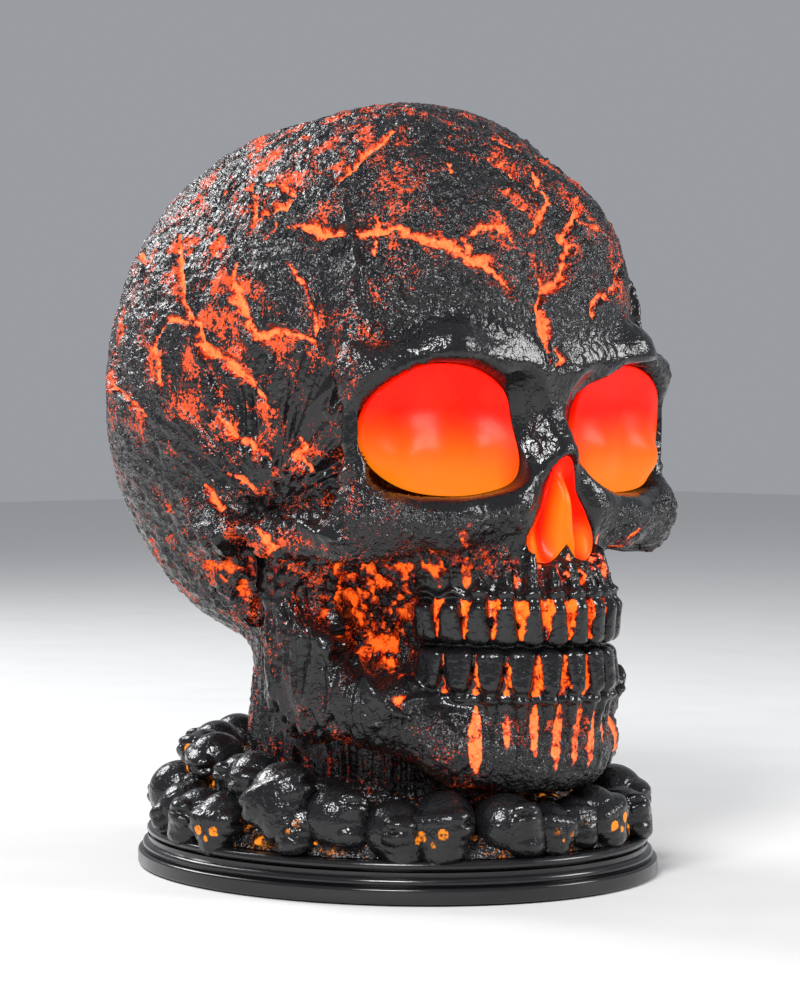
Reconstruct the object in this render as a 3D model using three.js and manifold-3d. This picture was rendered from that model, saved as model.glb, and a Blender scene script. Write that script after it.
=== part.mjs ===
import * as THREE from "three";
import { mergeVertices } from "three/addons/utils/BufferGeometryUtils.js";
import Module from "manifold-3d";

const wasm = await Module();
wasm.setup();

// Driving sizes, in millimetres. The face looks along -Y and the lamp stands on z = 0.
const HEAD_WIDTH = 144;
const HEAD_LENGTH = 184;
const HEAD_HEIGHT = 204;
const PLINTH_SPREAD = 4;
const PLINTH_LENGTH = 168;
const PLINTH_TOP = 12;
const CHIN_LIFT = 14;
const HEAD_SET_BACK = 1.9;
const PLINTH_FORWARD = 7;

// Walls and fits.
const SHELL_WALL = 3;
const PLINTH_WALL = 3;
const DECK = 3;
const CLEARANCE = 0.3;
const OVERRUN = 1;
const SMALLEST_FACE = 0.03;

// Plinth mouldings: the rim's band, its two beads and the groove between them.
const RIM_LIFT = 0.5;
const BAND_HEIGHT = 4.5;
const BAND_STEP = 1.4;
const BEAD_RADIUS = 1.3;
const GROOVE_DEPTH = 3.4;
const DECK_INSET = 5.2;

// Battery bay, moulded with the bottom plate, for three size AA cells side by side.
const CELL_RADIUS = 7.25;
const CELL_LENGTH = 49.2;
const CELL_NUB_RADIUS = 2.7;
const CELL_NUB = 1.3;
const CELL_CHAMFER = 0.45;
const CELL_COUNT = 3;
const CELL_GAP = 0.6;
const SPRING_ROOM = 4.2;
const CONTACT_THICKNESS = 0.5;
const CONTACT_WIDTH = 9;
const CONTACT_HEIGHT = 9;
const BAY_WALL = 2;
const PLATE_THICKNESS = 2.5;
const PLATE_LIFT = 2.5;
const DOOR_THICKNESS = 2;
const DOOR_TONGUE_WIDTH = 14;
const DOOR_TONGUE_LENGTH = 11;
const HOOK_WIDTH = 3;
const HOOK_THICKNESS = 1.3;
const HOOK_REACH = 2.2;
const HOOK_ROOM = 2.4;
const RIB_WIDTH = 1;
const RIB_HEIGHT = 0.3;
const SPRING_TURNS = 3;
const SPRING_WIRE = 0.45;
const SPRING_RADIUS = 3.4;
const SPRING_TIP_RADIUS = 2;

// Fasteners and feet.
const SCREW_RADIUS = 1.4;
const SCREW_HEAD_RADIUS = 2.8;
const SCREW_HEAD = 1.2;
const SCREW_SLOT = 0.7;
const BOSS_RADIUS = 4;
const BOSS_HEIGHT = 14;
const FOOT_RADIUS = 6;
const FOOT_CHAMFER = 0.6;

// Switch.
const SWITCH_LENGTH = 14;
const SWITCH_WIDTH = 7;
const SWITCH_HEIGHT = 3.3;
const SWITCH_TRAVEL = 4;
const KNOB_LENGTH = 3;
const KNOB_WIDTH = 2.4;
const KNOB_DROP = 1;
const KNOB_FLANGE = 1.2;

// Light unit.
const POST_RADIUS = 7;
const POST_BORE = 5;
const POST_HEIGHT = 78;
const POST_FOOT_RADIUS = 11;
const BOARD_THICKNESS = 1.6;
const LED_BOARD_RADIUS = 17;
const LED_RADIUS = 2.5;
const LED_HEIGHT = 5.4;
const LED_FLANGE = 1;
const LED_LIP = 0.4;
const CHIP_SIZE = 5;
const PAD_SIZE = 1;
const LED_RING_RADIUS = 11;
const BOARD_LENGTH = 18;
const BOARD_WIDTH = 30;
const WIRE_RADIUS = 0.8;
const WIRE_APART = 1.6;

// Openings of the face.
const ORBIT_HALF_WIDTH = 24.8;
const ORBIT_HALF_HEIGHT = 19;
const NOSE_HALF_WIDTH = 12.5;
const NOSE_HEIGHT = 31;
const LENS_THICKNESS = 2.5;
const LENS_RECESS = 1.2;
const EYE_BOWL = 1.5;
const EYE_BULGE = 4.2;
const NOSE_BOWL = 5;
const NOSE_RIDGE = 5;
const OPENING_DEPTH = 13;
const SEAT_DEPTH = 5.5;
const OPENING_TAPER_share = 0.76;

// Cracks of the skin.
const CRACK_HALF_WIDTH = 1.8;
const CRACK_DEPTH = 1.4;

// Teeth.
const UPPER_TEETH = 14;
const LOWER_TEETH = 12;
const UPPER_CROWN = 13;
const LOWER_CROWN = 13;
const TOOTH_DEPTH = 7;
const ROOT_RADIUS = 2.3;
const HIDDEN_ROOT_COUNT = 3;

// Mound of small skulls.
const MOUND_INSET = 7;
const SMALL_SKULL = 7.6;

const PLINTH_WIDTH = HEAD_WIDTH + PLINTH_SPREAD;
const HALF_WIDTH = HEAD_WIDTH / 2;
const HALF_LENGTH = HEAD_LENGTH / 2;
const CHIN_HEIGHT = PLINTH_TOP + CHIN_LIFT;
const PLINTH_Y = HEAD_SET_BACK - PLINTH_FORWARD;
const NECK_FOOT = PLINTH_TOP + CLEARANCE;

// Shape of the head. Places are shares of half the width, half the length and the height;
// a rod's two radii and every blend are shares of half the width.
const NECK_shares = [0.575, 0.53, 0.55];
const ORBIT_PLACE_shares = [0.475, -0.705, 0.52];
const EYE_BULGE_shares = [0.75, 0.6];
const NOSE_RIDGE_share = 0.42;
const ORBIT_TURN = THREE.MathUtils.degToRad(10);
const NOSE_PLACE_shares = [0, -0.87, 0.333];
const NOSE_MIDDLE_share = 0.42;
const RAY_TOP_share = 0.56;
const MERGE_share = 0.003;

const BONE_shares = [
  { blob: [[0, 0.33, 0.565], [0.94, 0.63, 0.385]], blend: 0 },
  { blob: [[0, 0.065, 0.61], [0.95, 0.72, 0.36]], blend: 0.25 },
  { blob: [[0, -0.24, 0.63], [0.8, 0.6, 0.35]], blend: 0.3 },
  { blob: [[0.26, -0.6, 0.735], [0.3, 0.17, 0.12]], blend: 0.22 },
  { rod: [[0.7, -0.52, 0.72], [0.78, -0.6, 0.6], [0.04, 0.05]], blend: 0.14 },
  { blob: [[0, -0.43, 0.42], [0.6, 0.37, 0.17]], blend: 0.2 },
  { blob: [[0, -0.55, 0.35], [0.42, 0.34, 0.12]], blend: 0.14 },
  { rod: [[0.12, -0.785, 0.6], [0.48, -0.765, 0.625], [0.09, 0.1]], blend: 0.09 },
  { rod: [[0.48, -0.765, 0.625], [0.77, -0.655, 0.595], [0.1, 0.075]], blend: 0.09 },
  { rod: [[0.8, -0.625, 0.6], [0.8, -0.615, 0.42], [0.055, 0.06]], blend: 0.08 },
  { rod: [[0.76, -0.67, 0.402], [0.47, -0.745, 0.392], [0.1, 0.095]], blend: 0.1 },
  { rod: [[0.47, -0.745, 0.392], [0.22, -0.8, 0.42], [0.095, 0.085]], blend: 0.1 },
  { rod: [[0, -0.76, 0.6], [0, -0.765, 0.53], [0.09, 0.05]], blend: 0.08 },
  { rod: [[0, -0.765, 0.53], [0, -0.855, 0.485], [0.05, 0.07]], blend: 0.08 },
  { rod: [[0.05, -0.8, 0.5], [0.22, -0.79, 0.41], [0.07, 0.09]], blend: 0.08 },
  { blob: [[0.69, -0.585, 0.375], [0.17, 0.145, 0.05]], blend: 0.1 },
  { rod: [[0.79, -0.57, 0.365], [0.9, -0.3, 0.365], [0.085, 0.06]], blend: 0.08 },
  { rod: [[0.9, -0.3, 0.365], [0.9, -0.05, 0.372], [0.06, 0.07]], blend: 0.08 },
  { rod: [[0.74, 0.06, 0.37], [0.64, 0.02, 0.27], [0.17, 0.1]], blend: 0.14 },
  { blob: [[0, -0.076, 0], NECK_shares], blend: 0.16 },
  { blob: [[0.68, -0.29, 0.25], [0.125, 0.2, 0.165]], blend: 0.1 },
  { rod: [[0.62, -0.24, 0.15], [0.56, -0.49, 0.135], [0.14, 0.14]], blend: 0.12 },
  { rod: [[0.56, -0.49, 0.135], [0.33, -0.68, 0.075], [0.14, 0.13]], blend: 0.12 },
  { rod: [[0.33, -0.68, 0.075], [0.15, -0.775, 0.062], [0.13, 0.13]], blend: 0.1 },
  { rod: [[0.15, -0.775, 0.062], [-0.01, -0.785, 0.062], [0.13, 0.13]], blend: 0.08 },
  { blob: [[0, -0.82, 0.075], [0.22, 0.1, 0.06]], blend: 0.06 },
  { blob: [[0, -0.52, 0.165], [0.4, 0.435, 0.13]], blend: 0.1 },
  { blob: [[0, -0.5, 0.27], [0.415, 0.465, 0.085]], blend: 0.08 },
];
const HOLLOW_shares = [
  { blob: [[1.1, -0.27, 0.55], [0.2, 0.3, 0.15]], blend: 0.15 },
  { blob: [[0.62, -0.56, 0.265], [0.17, 0.22, 0.095]], blend: 0.06 },
  { blob: [[0.78, -0.47, 0.29], [0.15, 0.2, 0.05]], blend: 0.06 },
  { blob: [[0.93, -0.185, 0.335], [0.13, 0.08, 0.036]], blend: 0.05 },
  { blob: [[1, 0.16, 0.28], [0.16, 0.26, 0.07]], blend: 0.08 },
  { blob: [[0.2, -0.875, 0.53], [0.13, 0.115, 0.07]], blend: 0.05 },
];

// Outlines of the openings: shares of their half width and half height, or of the nose's height.
const ORBIT_OUTLINE_shares = [
  [-1, 0.07], [-0.82, 0.58], [-0.3, 0.95], [0.35, 0.93], [0.8, 0.58], [0.93, 0.05],
  [1, -0.55], [0.8, -0.86], [0.15, -1], [-0.5, -0.88], [-0.9, -0.47],
];
const NOSE_OUTLINE_shares = [
  [0, 1], [0.25, 0.93], [0.42, 0.68], [0.75, 0.44], [1, 0.25],
  [0.95, 0.08], [0.62, 0], [0.3, 0.05], [0.1, 0.14], [0, 0.19],
];

// Geometry to solid and back
function solid(geometry) {
  const bare = geometry.clone();
  bare.deleteAttribute("normal");
  bare.deleteAttribute("uv");
  const merged = mergeVertices(bare, CLEARANCE * MERGE_share);
  const made = new wasm.Manifold(
    new wasm.Mesh({
      numProp: 3,
      vertProperties: new Float32Array(merged.attributes.position.array),
      triVerts: new Uint32Array(merged.index.array),
    }),
  );
  return made;
}

function geometryOf(shape) {
  const mesh = shape.getMesh();
  const geometry = new THREE.BufferGeometry();
  const points = new Float32Array(mesh.numVert * 3);
  for (let i = 0; i < mesh.numVert; i++) {
    points.set(mesh.vertProperties.subarray(i * mesh.numProp, i * mesh.numProp + 3), i * 3);
  }
  geometry.setAttribute("position", new THREE.BufferAttribute(points, 3));
  geometry.setIndex(new THREE.BufferAttribute(new Uint32Array(mesh.triVerts), 1));
  geometry.computeVertexNormals();
  return geometry;
}

function join(first, ...others) {
  return others.reduce((sum, other) => sum.add(other), first);
}

function cut(first, ...others) {
  return others.reduce((rest, other) => rest.subtract(other), first);
}

// The largest of the bodies that cutting may leave, without faces too small to matter
function largest(shape) {
  const body = shape.decompose().sort((a, b) => b.volume() - a.volume())[0];
  return body.asOriginal().simplify(SMALLEST_FACE);
}

// Plain blocks, discs and revolved forms, each standing on a given height
function block(width, length, height, x, y, foot) {
  return solid(new THREE.BoxGeometry(width, length, height).translate(x, y, foot + height / 2));
}

function disc(radius, height, x, y, foot, sides = 16, topRadius = radius) {
  const geometry = new THREE.CylinderGeometry(topRadius, radius, height, sides);
  return solid(geometry.rotateX(Math.PI / 2).translate(x, y, foot + height / 2));
}

function revolved(profile, x, y, foot, sides = 16) {
  const outline = profile.map(([r, z]) => new THREE.Vector2(r, z));
  const geometry = new THREE.LatheGeometry(outline, sides);
  return solid(geometry.rotateX(Math.PI / 2).translate(x, y, foot));
}

// A closed body from rings of points, each ring turning the same way, with a point at either end
function ringBody(rings, first, last) {
  const count = rings[0].length;
  const points = [...rings.flat(), first, last];
  const foot = points.length - 2;
  const top = points.length - 1;
  const faces = [];
  const end = (rings.length - 1) * count;
  for (let c = 0; c < count; c++) {
    const next = (c + 1) % count;
    for (let r = 0; r + 1 < rings.length; r++) {
      const low = r * count;
      const high = low + count;
      faces.push(low + c, low + next, high + next, low + c, high + next, high + c);
    }
    faces.push(foot, next, c, end + c, end + next, top);
  }
  return indexed(points, faces);
}

// A closed body from a profile carried round a loop: one column of points for each place on it
function loopBody(columns) {
  const count = columns[0].length;
  const faces = [];
  for (let c = 0; c < columns.length; c++) {
    const here = c * count;
    const there = ((c + 1) % columns.length) * count;
    for (let p = 0; p < count; p++) {
      const q = (p + 1) % count;
      faces.push(here + p, there + p, there + q, here + p, there + q, here + q);
    }
  }
  return indexed(columns.flat(), faces);
}

function indexed(points, faces) {
  const geometry = new THREE.BufferGeometry();
  geometry.setAttribute("position", new THREE.Float32BufferAttribute(points.flat(), 3));
  geometry.setIndex(faces);
  return solid(geometry);
}

function smoothLoop(points, steps) {
  const places = points.map(([x, y]) => new THREE.Vector3(x, y, 0));
  const curve = new THREE.CatmullRomCurve3(places, true);
  return curve.getSpacedPoints(steps).slice(0, steps).map((p) => [p.x, p.y]);
}

// The head as one smooth field: negative inside, positive outside
function place([x, y, z]) {
  return [x * HALF_WIDTH, HEAD_SET_BACK + y * HALF_LENGTH, CHIN_HEIGHT + z * HEAD_HEIGHT];
}

function blobDistance(point, [centre, radii]) {
  const middle = place(centre);
  const sizes = [radii[0] * HALF_WIDTH, radii[1] * HALF_LENGTH, radii[2] * HEAD_HEIGHT];
  const scaled = point.map((v, i) => (v - middle[i]) / sizes[i]);
  const reach = Math.hypot(...scaled);
  const slope = Math.hypot(...scaled.map((v, i) => v / sizes[i]));
  return slope === 0 ? -Math.min(...sizes) : (reach * (reach - 1)) / slope;
}

function rodDistance(point, [from, to, radii]) {
  const a = place(from);
  const b = place(to);
  const along = b.map((v, i) => v - a[i]);
  const out = point.map((v, i) => v - a[i]);
  const dot = (p, q) => p[0] * q[0] + p[1] * q[1] + p[2] * q[2];
  const share = Math.min(1, Math.max(0, dot(out, along) / dot(along, along)));
  const gap = Math.hypot(...out.map((v, i) => v - share * along[i]));
  return gap - HALF_WIDTH * (radii[0] + (radii[1] - radii[0]) * share);
}

function smoothLeast(a, b, blend) {
  if (blend === 0) return Math.min(a, b);
  const share = Math.min(1, Math.max(0, 0.5 + (b - a) / (2 * blend)));
  return b + (a - b) * share - blend * share * (1 - share);
}

function boneDistance([x, y, z]) {
  const point = [Math.abs(x), y, z];
  let field = Infinity;
  for (const { blob, rod, blend } of BONE_shares) {
    const own = blob ? blobDistance(point, blob) : rodDistance(point, rod);
    field = field === Infinity ? own : smoothLeast(field, own, blend * HALF_WIDTH);
  }
  for (const { blob, blend } of HOLLOW_shares) {
    field = -smoothLeast(-field, blobDistance(point, blob), blend * HALF_WIDTH);
  }
  return field;
}

// Rays that meet the head's skin: level ones up to the temples, then rising ones over the crown
const COLUMN_COUNT = 56;
const NECK_ROW_COUNT = 2;
const FACE_ROW_COUNT = 20;
const CROWN_ROW_COUNT = 9;
const FACE_CROWDING_share = 0.35;
const CROWN_CROWDING_share = 1.25;
const LONGEST_RAY_share = 0.7;
const RAY_STEP_share = 0.0055;
const CAUTION_share = 0.6;
const HALVING_COUNT = 12;

function rayRows() {
  const top = CHIN_HEIGHT + RAY_TOP_share * HEAD_HEIGHT;
  const rows = [];
  for (let r = 0; r < NECK_ROW_COUNT; r++) {
    rows.push({ height: NECK_FOOT + ((CHIN_HEIGHT - NECK_FOOT) * r) / NECK_ROW_COUNT, rise: 0 });
  }
  for (let r = 0; r < FACE_ROW_COUNT; r++) {
    rows.push({ height: CHIN_HEIGHT + ((top - CHIN_HEIGHT) * r) / FACE_ROW_COUNT, rise: 0 });
  }
  for (let r = 0; r < CROWN_ROW_COUNT; r++) {
    rows.push({ height: top, rise: (Math.PI / 2) * (r / CROWN_ROW_COUNT) ** CROWN_CROWDING_share });
  }
  return rows;
}

function rayTurn(column) {
  const share = (2 * Math.PI * column) / COLUMN_COUNT;
  return share - FACE_CROWDING_share * Math.sin(share) - Math.PI / 2;
}

function rayPoint(height, rise, turn, reach) {
  const level = Math.cos(rise) * reach;
  return [
    Math.cos(turn) * level,
    PLINTH_Y + Math.sin(turn) * level,
    height + Math.sin(rise) * reach,
  ];
}

function rayReach(height, rise, turn) {
  const step = HEAD_LENGTH * RAY_STEP_share;
  const value = (reach) => boneDistance(rayPoint(height, rise, turn, reach));
  let inner = HEAD_LENGTH * LONGEST_RAY_share;
  let field = value(inner);
  while (field > 0 && inner > step) {
    inner -= Math.max(step, field * CAUTION_share);
    field = value(inner);
  }
  let outer = inner + step;
  while (value(outer) < 0) outer += step;
  for (let i = 0; i < HALVING_COUNT; i++) {
    const middle = (inner + outer) / 2;
    if (value(middle) < 0) inner = middle;
    else outer = middle;
  }
  return (inner + outer) / 2;
}

const ROWS = rayRows();
const MET = ROWS.map(({ height, rise }) =>
  Array.from({ length: COLUMN_COUNT }, (_, c) => rayReach(height, rise, rayTurn(c))),
);

// The reaches, evened a little so that steep steps don't look ragged
const EVENING_share = 0.4;
const REACH = MET.map((ring, r) =>
  ring.map((reach, c) => {
    const beside = [ring[(c + 1) % COLUMN_COUNT], ring[(c + COLUMN_COUNT - 1) % COLUMN_COUNT]];
    const above = [MET[Math.max(0, r - 1)][c], MET[Math.min(MET.length - 1, r + 1)][c]];
    const mean = (beside[0] + beside[1] + above[0] + above[1]) / 4;
    return reach + EVENING_share * (mean - reach);
  }),
);
const TOP_REACH = rayReach(ROWS.at(-1).height, Math.PI / 2, 0);

// The head's skin, grown outwards by a margin and lowered by a drop
function headBody(margin, drop) {
  const rings = ROWS.map(({ height, rise }, r) =>
    REACH[r].map((reach, c) => rayPoint(height - drop, rise, rayTurn(c), reach + margin)),
  );
  const foot = [0, PLINTH_Y, NECK_FOOT - drop];
  const top = rayPoint(ROWS.at(-1).height - drop, Math.PI / 2, 0, TOP_REACH + margin);
  return ringBody(rings, foot, top);
}

// The hollow: the least reach near each place, less the wall
const HOLLOW_SKIP_COUNT = 2;
const WALL_ALLOWANCE_share = 1.15;

function hollowBody() {
  const wall = SHELL_WALL * WALL_ALLOWANCE_share;
  const least = (row, column) => {
    let found = Infinity;
    for (let r = row - 1; r <= row + 1; r++) {
      for (let c = column - 1; c <= column + 1; c++) {
        const ring = REACH[Math.min(ROWS.length - 1, Math.max(0, r))];
        found = Math.min(found, ring[(c + COLUMN_COUNT) % COLUMN_COUNT]);
      }
    }
    return found - wall;
  };
  const rings = [];
  for (let r = 0; r < ROWS.length; r += HOLLOW_SKIP_COUNT) {
    const { height, rise } = ROWS[r];
    const low = r === 0 ? OVERRUN : 0;
    const ring = [];
    for (let c = 0; c < COLUMN_COUNT; c += HOLLOW_SKIP_COUNT) {
      ring.push(rayPoint(height - low, rise, rayTurn(c), least(r, c)));
    }
    rings.push(ring);
  }
  const foot = [0, PLINTH_Y, NECK_FOOT - OVERRUN];
  return ringBody(rings, foot, rayPoint(ROWS.at(-1).height, Math.PI / 2, 0, TOP_REACH - wall));
}

// Openings of the face and the lenses that fill them
const OUTLINE_COUNT = 24;
const ORBIT_OUTLINE = smoothLoop(
  ORBIT_OUTLINE_shares.map(([u, v]) => [u * ORBIT_HALF_WIDTH, v * ORBIT_HALF_HEIGHT]),
  OUTLINE_COUNT,
);
const NOSE_OTHER_HALF = NOSE_OUTLINE_shares.slice(1, -1).reverse().map(([x, z]) => [-x, z]);
const NOSE_OUTLINE = smoothLoop(
  [...NOSE_OUTLINE_shares, ...NOSE_OTHER_HALF].map(([x, z]) => [
    x * NOSE_HALF_WIDTH,
    (z - NOSE_MIDDLE_share) * NOSE_HEIGHT,
  ]),
  OUTLINE_COUNT,
);

// Moves a point of an opening's own frame (across, up, out) to its place on the right or left side
function orbitPoint(side) {
  const middle = place(ORBIT_PLACE_shares);
  const [c, s] = [Math.cos(ORBIT_TURN), Math.sin(ORBIT_TURN)];
  return (u, v, w) => [side * (middle[0] - u * c + w * s), middle[1] - u * s - w * c, middle[2] + v];
}

function nosePoint() {
  const middle = place(NOSE_PLACE_shares);
  return (u, v, w) => [u, middle[1] - w, middle[2] + NOSE_MIDDLE_share * NOSE_HEIGHT + v];
}

function eyeDepth(u, v, share) {
  const across = u / (EYE_BULGE_shares[0] * ORBIT_HALF_WIDTH);
  const up = v / (EYE_BULGE_shares[1] * ORBIT_HALF_HEIGHT);
  const bulge = EYE_BULGE * Math.exp(-across * across - up * up);
  return bulge - LENS_RECESS - EYE_BOWL * (1 - share * share);
}

function noseDepth(u, v, share) {
  const ridge = NOSE_RIDGE * Math.exp(-((u / (NOSE_RIDGE_share * NOSE_HALF_WIDTH)) ** 2));
  return (ridge - NOSE_BOWL) * (1 - share ** 4) - LENS_RECESS;
}

// A ring of the outline at a share of its size, at the depth that a formula gives
function outlineRing(outline, share, margin, depth, toPlace) {
  return outline.map(([x, y]) => {
    const size = Math.hypot(x, y);
    const shrink = (share * (size - margin)) / size;
    return toPlace(x * shrink, y * shrink, depth(x * shrink, y * shrink, share));
  });
}

function lensBody(outline, depthOf, toPlace, mirrored) {
  const loop = mirrored ? [...outline].reverse() : outline;
  const backShares = [0.5, 1];
  const frontShares = [1, 0.8, 0.55, 0.3];
  const back = (u, v, share) => depthOf(u, v, share) - LENS_THICKNESS;
  const rings = [
    ...backShares.map((share) => outlineRing(loop, share, CLEARANCE, back, toPlace)),
    ...frontShares.map((share) => outlineRing(loop, share, CLEARANCE, depthOf, toPlace)),
  ];
  return ringBody(rings, toPlace(0, 0, back(0, 0, 0)), toPlace(0, 0, depthOf(0, 0, 0)));
}

function openingBody(outline, toPlace, mirrored) {
  const loop = mirrored ? [...outline].reverse() : outline;
  const levels = [
    [-OPENING_DEPTH, OPENING_TAPER_share], [-SEAT_DEPTH, 1], [2 * OPENING_DEPTH, 1],
  ];
  const rings = levels.map(([depth, share]) => outlineRing(loop, share, 0, () => depth, toPlace));
  return ringBody(rings, toPlace(0, 0, -OPENING_DEPTH), toPlace(0, 0, 2 * OPENING_DEPTH));
}

// Grooves of the main cracks, along the skin through places given in shares. All but the crack of
// the brow come twice, once on each side.
const CRACK_shares = [
  [
    [-0.77, -0.27, 0.8], [-0.69, -0.45, 0.79], [-0.58, -0.58, 0.78],
    [-0.43, -0.7, 0.76], [-0.32, -0.76, 0.74], [-0.23, -0.8, 0.7],
  ],
  [
    [-0.88, -0.09, 0.75], [-0.9, -0.16, 0.7], [-0.88, -0.23, 0.65],
    [-0.83, -0.4, 0.65], [-0.79, -0.46, 0.62],
  ],
  [
    [-0.83, 0.22, 0.8], [-0.93, 0.11, 0.72], [-0.95, 0, 0.66],
    [-0.91, -0.1, 0.61], [-0.87, -0.21, 0.58], [-0.85, -0.25, 0.55],
  ],
  [[-0.96, 0.12, 0.68], [-0.98, 0.19, 0.64], [-0.98, 0.17, 0.57]],
  [[-0.91, -0.05, 0.54], [-0.86, -0.16, 0.5], [-0.8, -0.25, 0.45]],
  [[-0.63, -0.36, 0.86], [-0.47, -0.39, 0.91], [-0.33, -0.38, 0.95]],
  [[-0.45, 0.95, 0.62], [-0.4, 0.9, 0.72], [-0.25, 0.8, 0.82], [-0.3, 0.6, 0.92]],
];
const BROW_CRACK_shares = [
  [0.26, -0.68, 0.84], [0.08, -0.78, 0.78], [0.02, -0.81, 0.735],
  [-0.08, -0.83, 0.68], [-0.05, -0.86, 0.61],
];

// A groove with a V section that reaches well over the skin, so that it cuts cleanly
function crackBody(line) {
  const spots = line.map((shares) => skinPoint(place(shares)));
  const section = [
    [0, -CRACK_DEPTH], [2 * CRACK_HALF_WIDTH, CRACK_DEPTH], [-2 * CRACK_HALF_WIDTH, CRACK_DEPTH],
  ];
  const rings = spots.slice(1).map((spot, i) => {
    const middle = skinPoint(spot.clone().add(spots[i]).divideScalar(2).toArray());
    const out = middle.clone().sub(axisPoint(middle)).normalize();
    const across = spot.clone().sub(spots[i]).cross(out).normalize();
    return section.map(([u, w]) =>
      middle.clone().addScaledVector(across, u).addScaledVector(out, w).toArray(),
    );
  });
  const [start, end] = [spots[0], spots.at(-1)].map((spot) => {
    const out = spot.clone().sub(axisPoint(spot)).normalize();
    return spot.clone().addScaledVector(out, CRACK_DEPTH).toArray();
  });
  const sections = [[start], ...rings, [end]];
  return join(
    ...sections.slice(1).map((section, i) => wasm.Manifold.hull([...sections[i], ...section])),
  );
}

function axisPoint(spot) {
  return new THREE.Vector3(0, PLINTH_Y, Math.min(spot.z, ROWS.at(-1).height));
}

// The place on the skin on the ray from the axis through a point
function skinPoint([x, y, z]) {
  const height = Math.min(z, ROWS.at(-1).height);
  const turn = Math.atan2(y - PLINTH_Y, x);
  const rise = Math.atan2(z - height, Math.hypot(x, y - PLINTH_Y));
  return new THREE.Vector3(...rayPoint(height, rise, turn, rayReach(height, rise, turn)));
}

function crackBodies() {
  const mirrored = CRACK_shares.map((line) => line.map(([x, y, z]) => [-x, y, z]));
  return [...CRACK_shares, ...mirrored, BROW_CRACK_shares].map(crackBody);
}

// Teeth, each a bevelled block on the arch of its jaw, with the ridge of its root behind the gum
const UPPER_ARCH_shares = { centre: [0, -0.5, 0.253], across: 0.415, forward: 0.465 };
const LOWER_ARCH_shares = { centre: [0, -0.5, 0.187], across: 0.4, forward: 0.455 };
const ARCH_SWEEP = THREE.MathUtils.degToRad(168);
const TOOTH_TAPER_share = 0.85;
const ROOT_LENGTH_share = 0.9;
const ROOT_LEAN = THREE.MathUtils.degToRad(8);

// A block with its four upright edges bevelled, narrower at the end that the side names
function bevelledBlock(width, depth, height, side) {
  const geometry = new THREE.CylinderGeometry(1, 1, height, 8);
  geometry.rotateX(Math.PI / 2).rotateZ(Math.PI / 8);
  const points = geometry.attributes.position;
  for (let i = 0; i < points.count; i++) {
    const narrow = points.getZ(i) * side > 0 ? TOOTH_TAPER_share : 1;
    points.setX(i, (points.getX(i) * narrow * width) / 2);
    points.setY(i, (points.getY(i) * depth) / 2);
  }
  return geometry;
}

function archPlaces(arch, count) {
  const middle = place(arch.centre);
  return Array.from({ length: count }, (_, i) => {
    const turn = ARCH_SWEEP * ((i + 0.5) / count - 0.5);
    const across = arch.across * HALF_WIDTH;
    const forward = arch.forward * HALF_LENGTH;
    const x = across * Math.sin(turn);
    const y = middle[1] - forward * Math.cos(turn);
    const speed = Math.hypot(across * Math.cos(turn), forward * Math.sin(turn));
    const spacing = (ARCH_SWEEP / count) * speed;
    const heading = Math.atan2(forward * Math.sin(turn), across * Math.cos(turn));
    return { x, y, z: middle[2], spacing, heading };
  });
}

function toothRow(arch, count, crown, rootSide) {
  return archPlaces(arch, count).flatMap(({ x, y, z, spacing, heading }, i) => {
    const tooth = bevelledBlock(spacing, TOOTH_DEPTH, crown, rootSide);
    const rootLength = crown * ROOT_LENGTH_share;
    const root = new THREE.CylinderGeometry(ROOT_RADIUS, ROOT_RADIUS, rootLength, 5);
    root.rotateX(Math.PI / 2);
    const rootMiddle = rootSide * (crown / 2 + rootLength / 2 - OVERRUN);
    root.rotateX(ROOT_LEAN * rootSide).translate(0, ROOT_RADIUS / 2, rootMiddle);
    const shown = Math.min(i, count - 1 - i) >= HIDDEN_ROOT_COUNT ? [tooth, root] : [tooth];
    return shown.map((form) => solid(form.rotateZ(heading).translate(x, y, z)));
  });
}

function neckBossPlaces() {
  const wall = SHELL_WALL * WALL_ALLOWANCE_share;
  const across = NECK_shares[0] * HALF_WIDTH - wall - BOSS_RADIUS + OVERRUN;
  const along = NECK_shares[1] * HALF_LENGTH - wall - BOSS_RADIUS + OVERRUN;
  return [[across, 0], [-across, 0], [0, along], [0, -along]].map(([x, y]) => [x, PLINTH_Y + y]);
}

function skullShell() {
  const teeth = [
    ...toothRow(UPPER_ARCH_shares, UPPER_TEETH, UPPER_CROWN, 1),
    ...toothRow(LOWER_ARCH_shares, LOWER_TEETH, LOWER_CROWN, -1),
  ];
  const bosses = neckBossPlaces().map(([x, y]) =>
    disc(BOSS_RADIUS, BOSS_HEIGHT, x, y, NECK_FOOT, 10),
  );
  const pilots = neckBossPlaces().map(([x, y]) =>
    disc(SCREW_RADIUS + CLEARANCE, BOSS_HEIGHT - OVERRUN, x, y, NECK_FOOT - OVERRUN, 8),
  );
  const openings = [
    openingBody(ORBIT_OUTLINE, orbitPoint(1), false),
    openingBody(ORBIT_OUTLINE, orbitPoint(-1), true),
    openingBody(NOSE_OUTLINE, nosePoint(), true),
  ];
  const skin = cut(join(headBody(0, 0), ...teeth), hollowBody());
  return largest(cut(join(skin, ...bosses), ...openings, ...pilots, ...crackBodies()));
}

// The plinth: an oval ring of mouldings with a deck, open in the middle for the battery bay
const OVAL_COUNT = 40;

// A point of the oval at a turn, moved outwards by a margin
function ovalPoint(turn, margin, height, halfX = PLINTH_WIDTH / 2, halfY = PLINTH_LENGTH / 2) {
  const out = [Math.cos(turn) * halfY, Math.sin(turn) * halfX];
  const size = Math.hypot(...out);
  return [
    Math.cos(turn) * halfX + (out[0] / size) * margin,
    PLINTH_Y + Math.sin(turn) * halfY + (out[1] / size) * margin,
    height,
  ];
}

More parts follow.
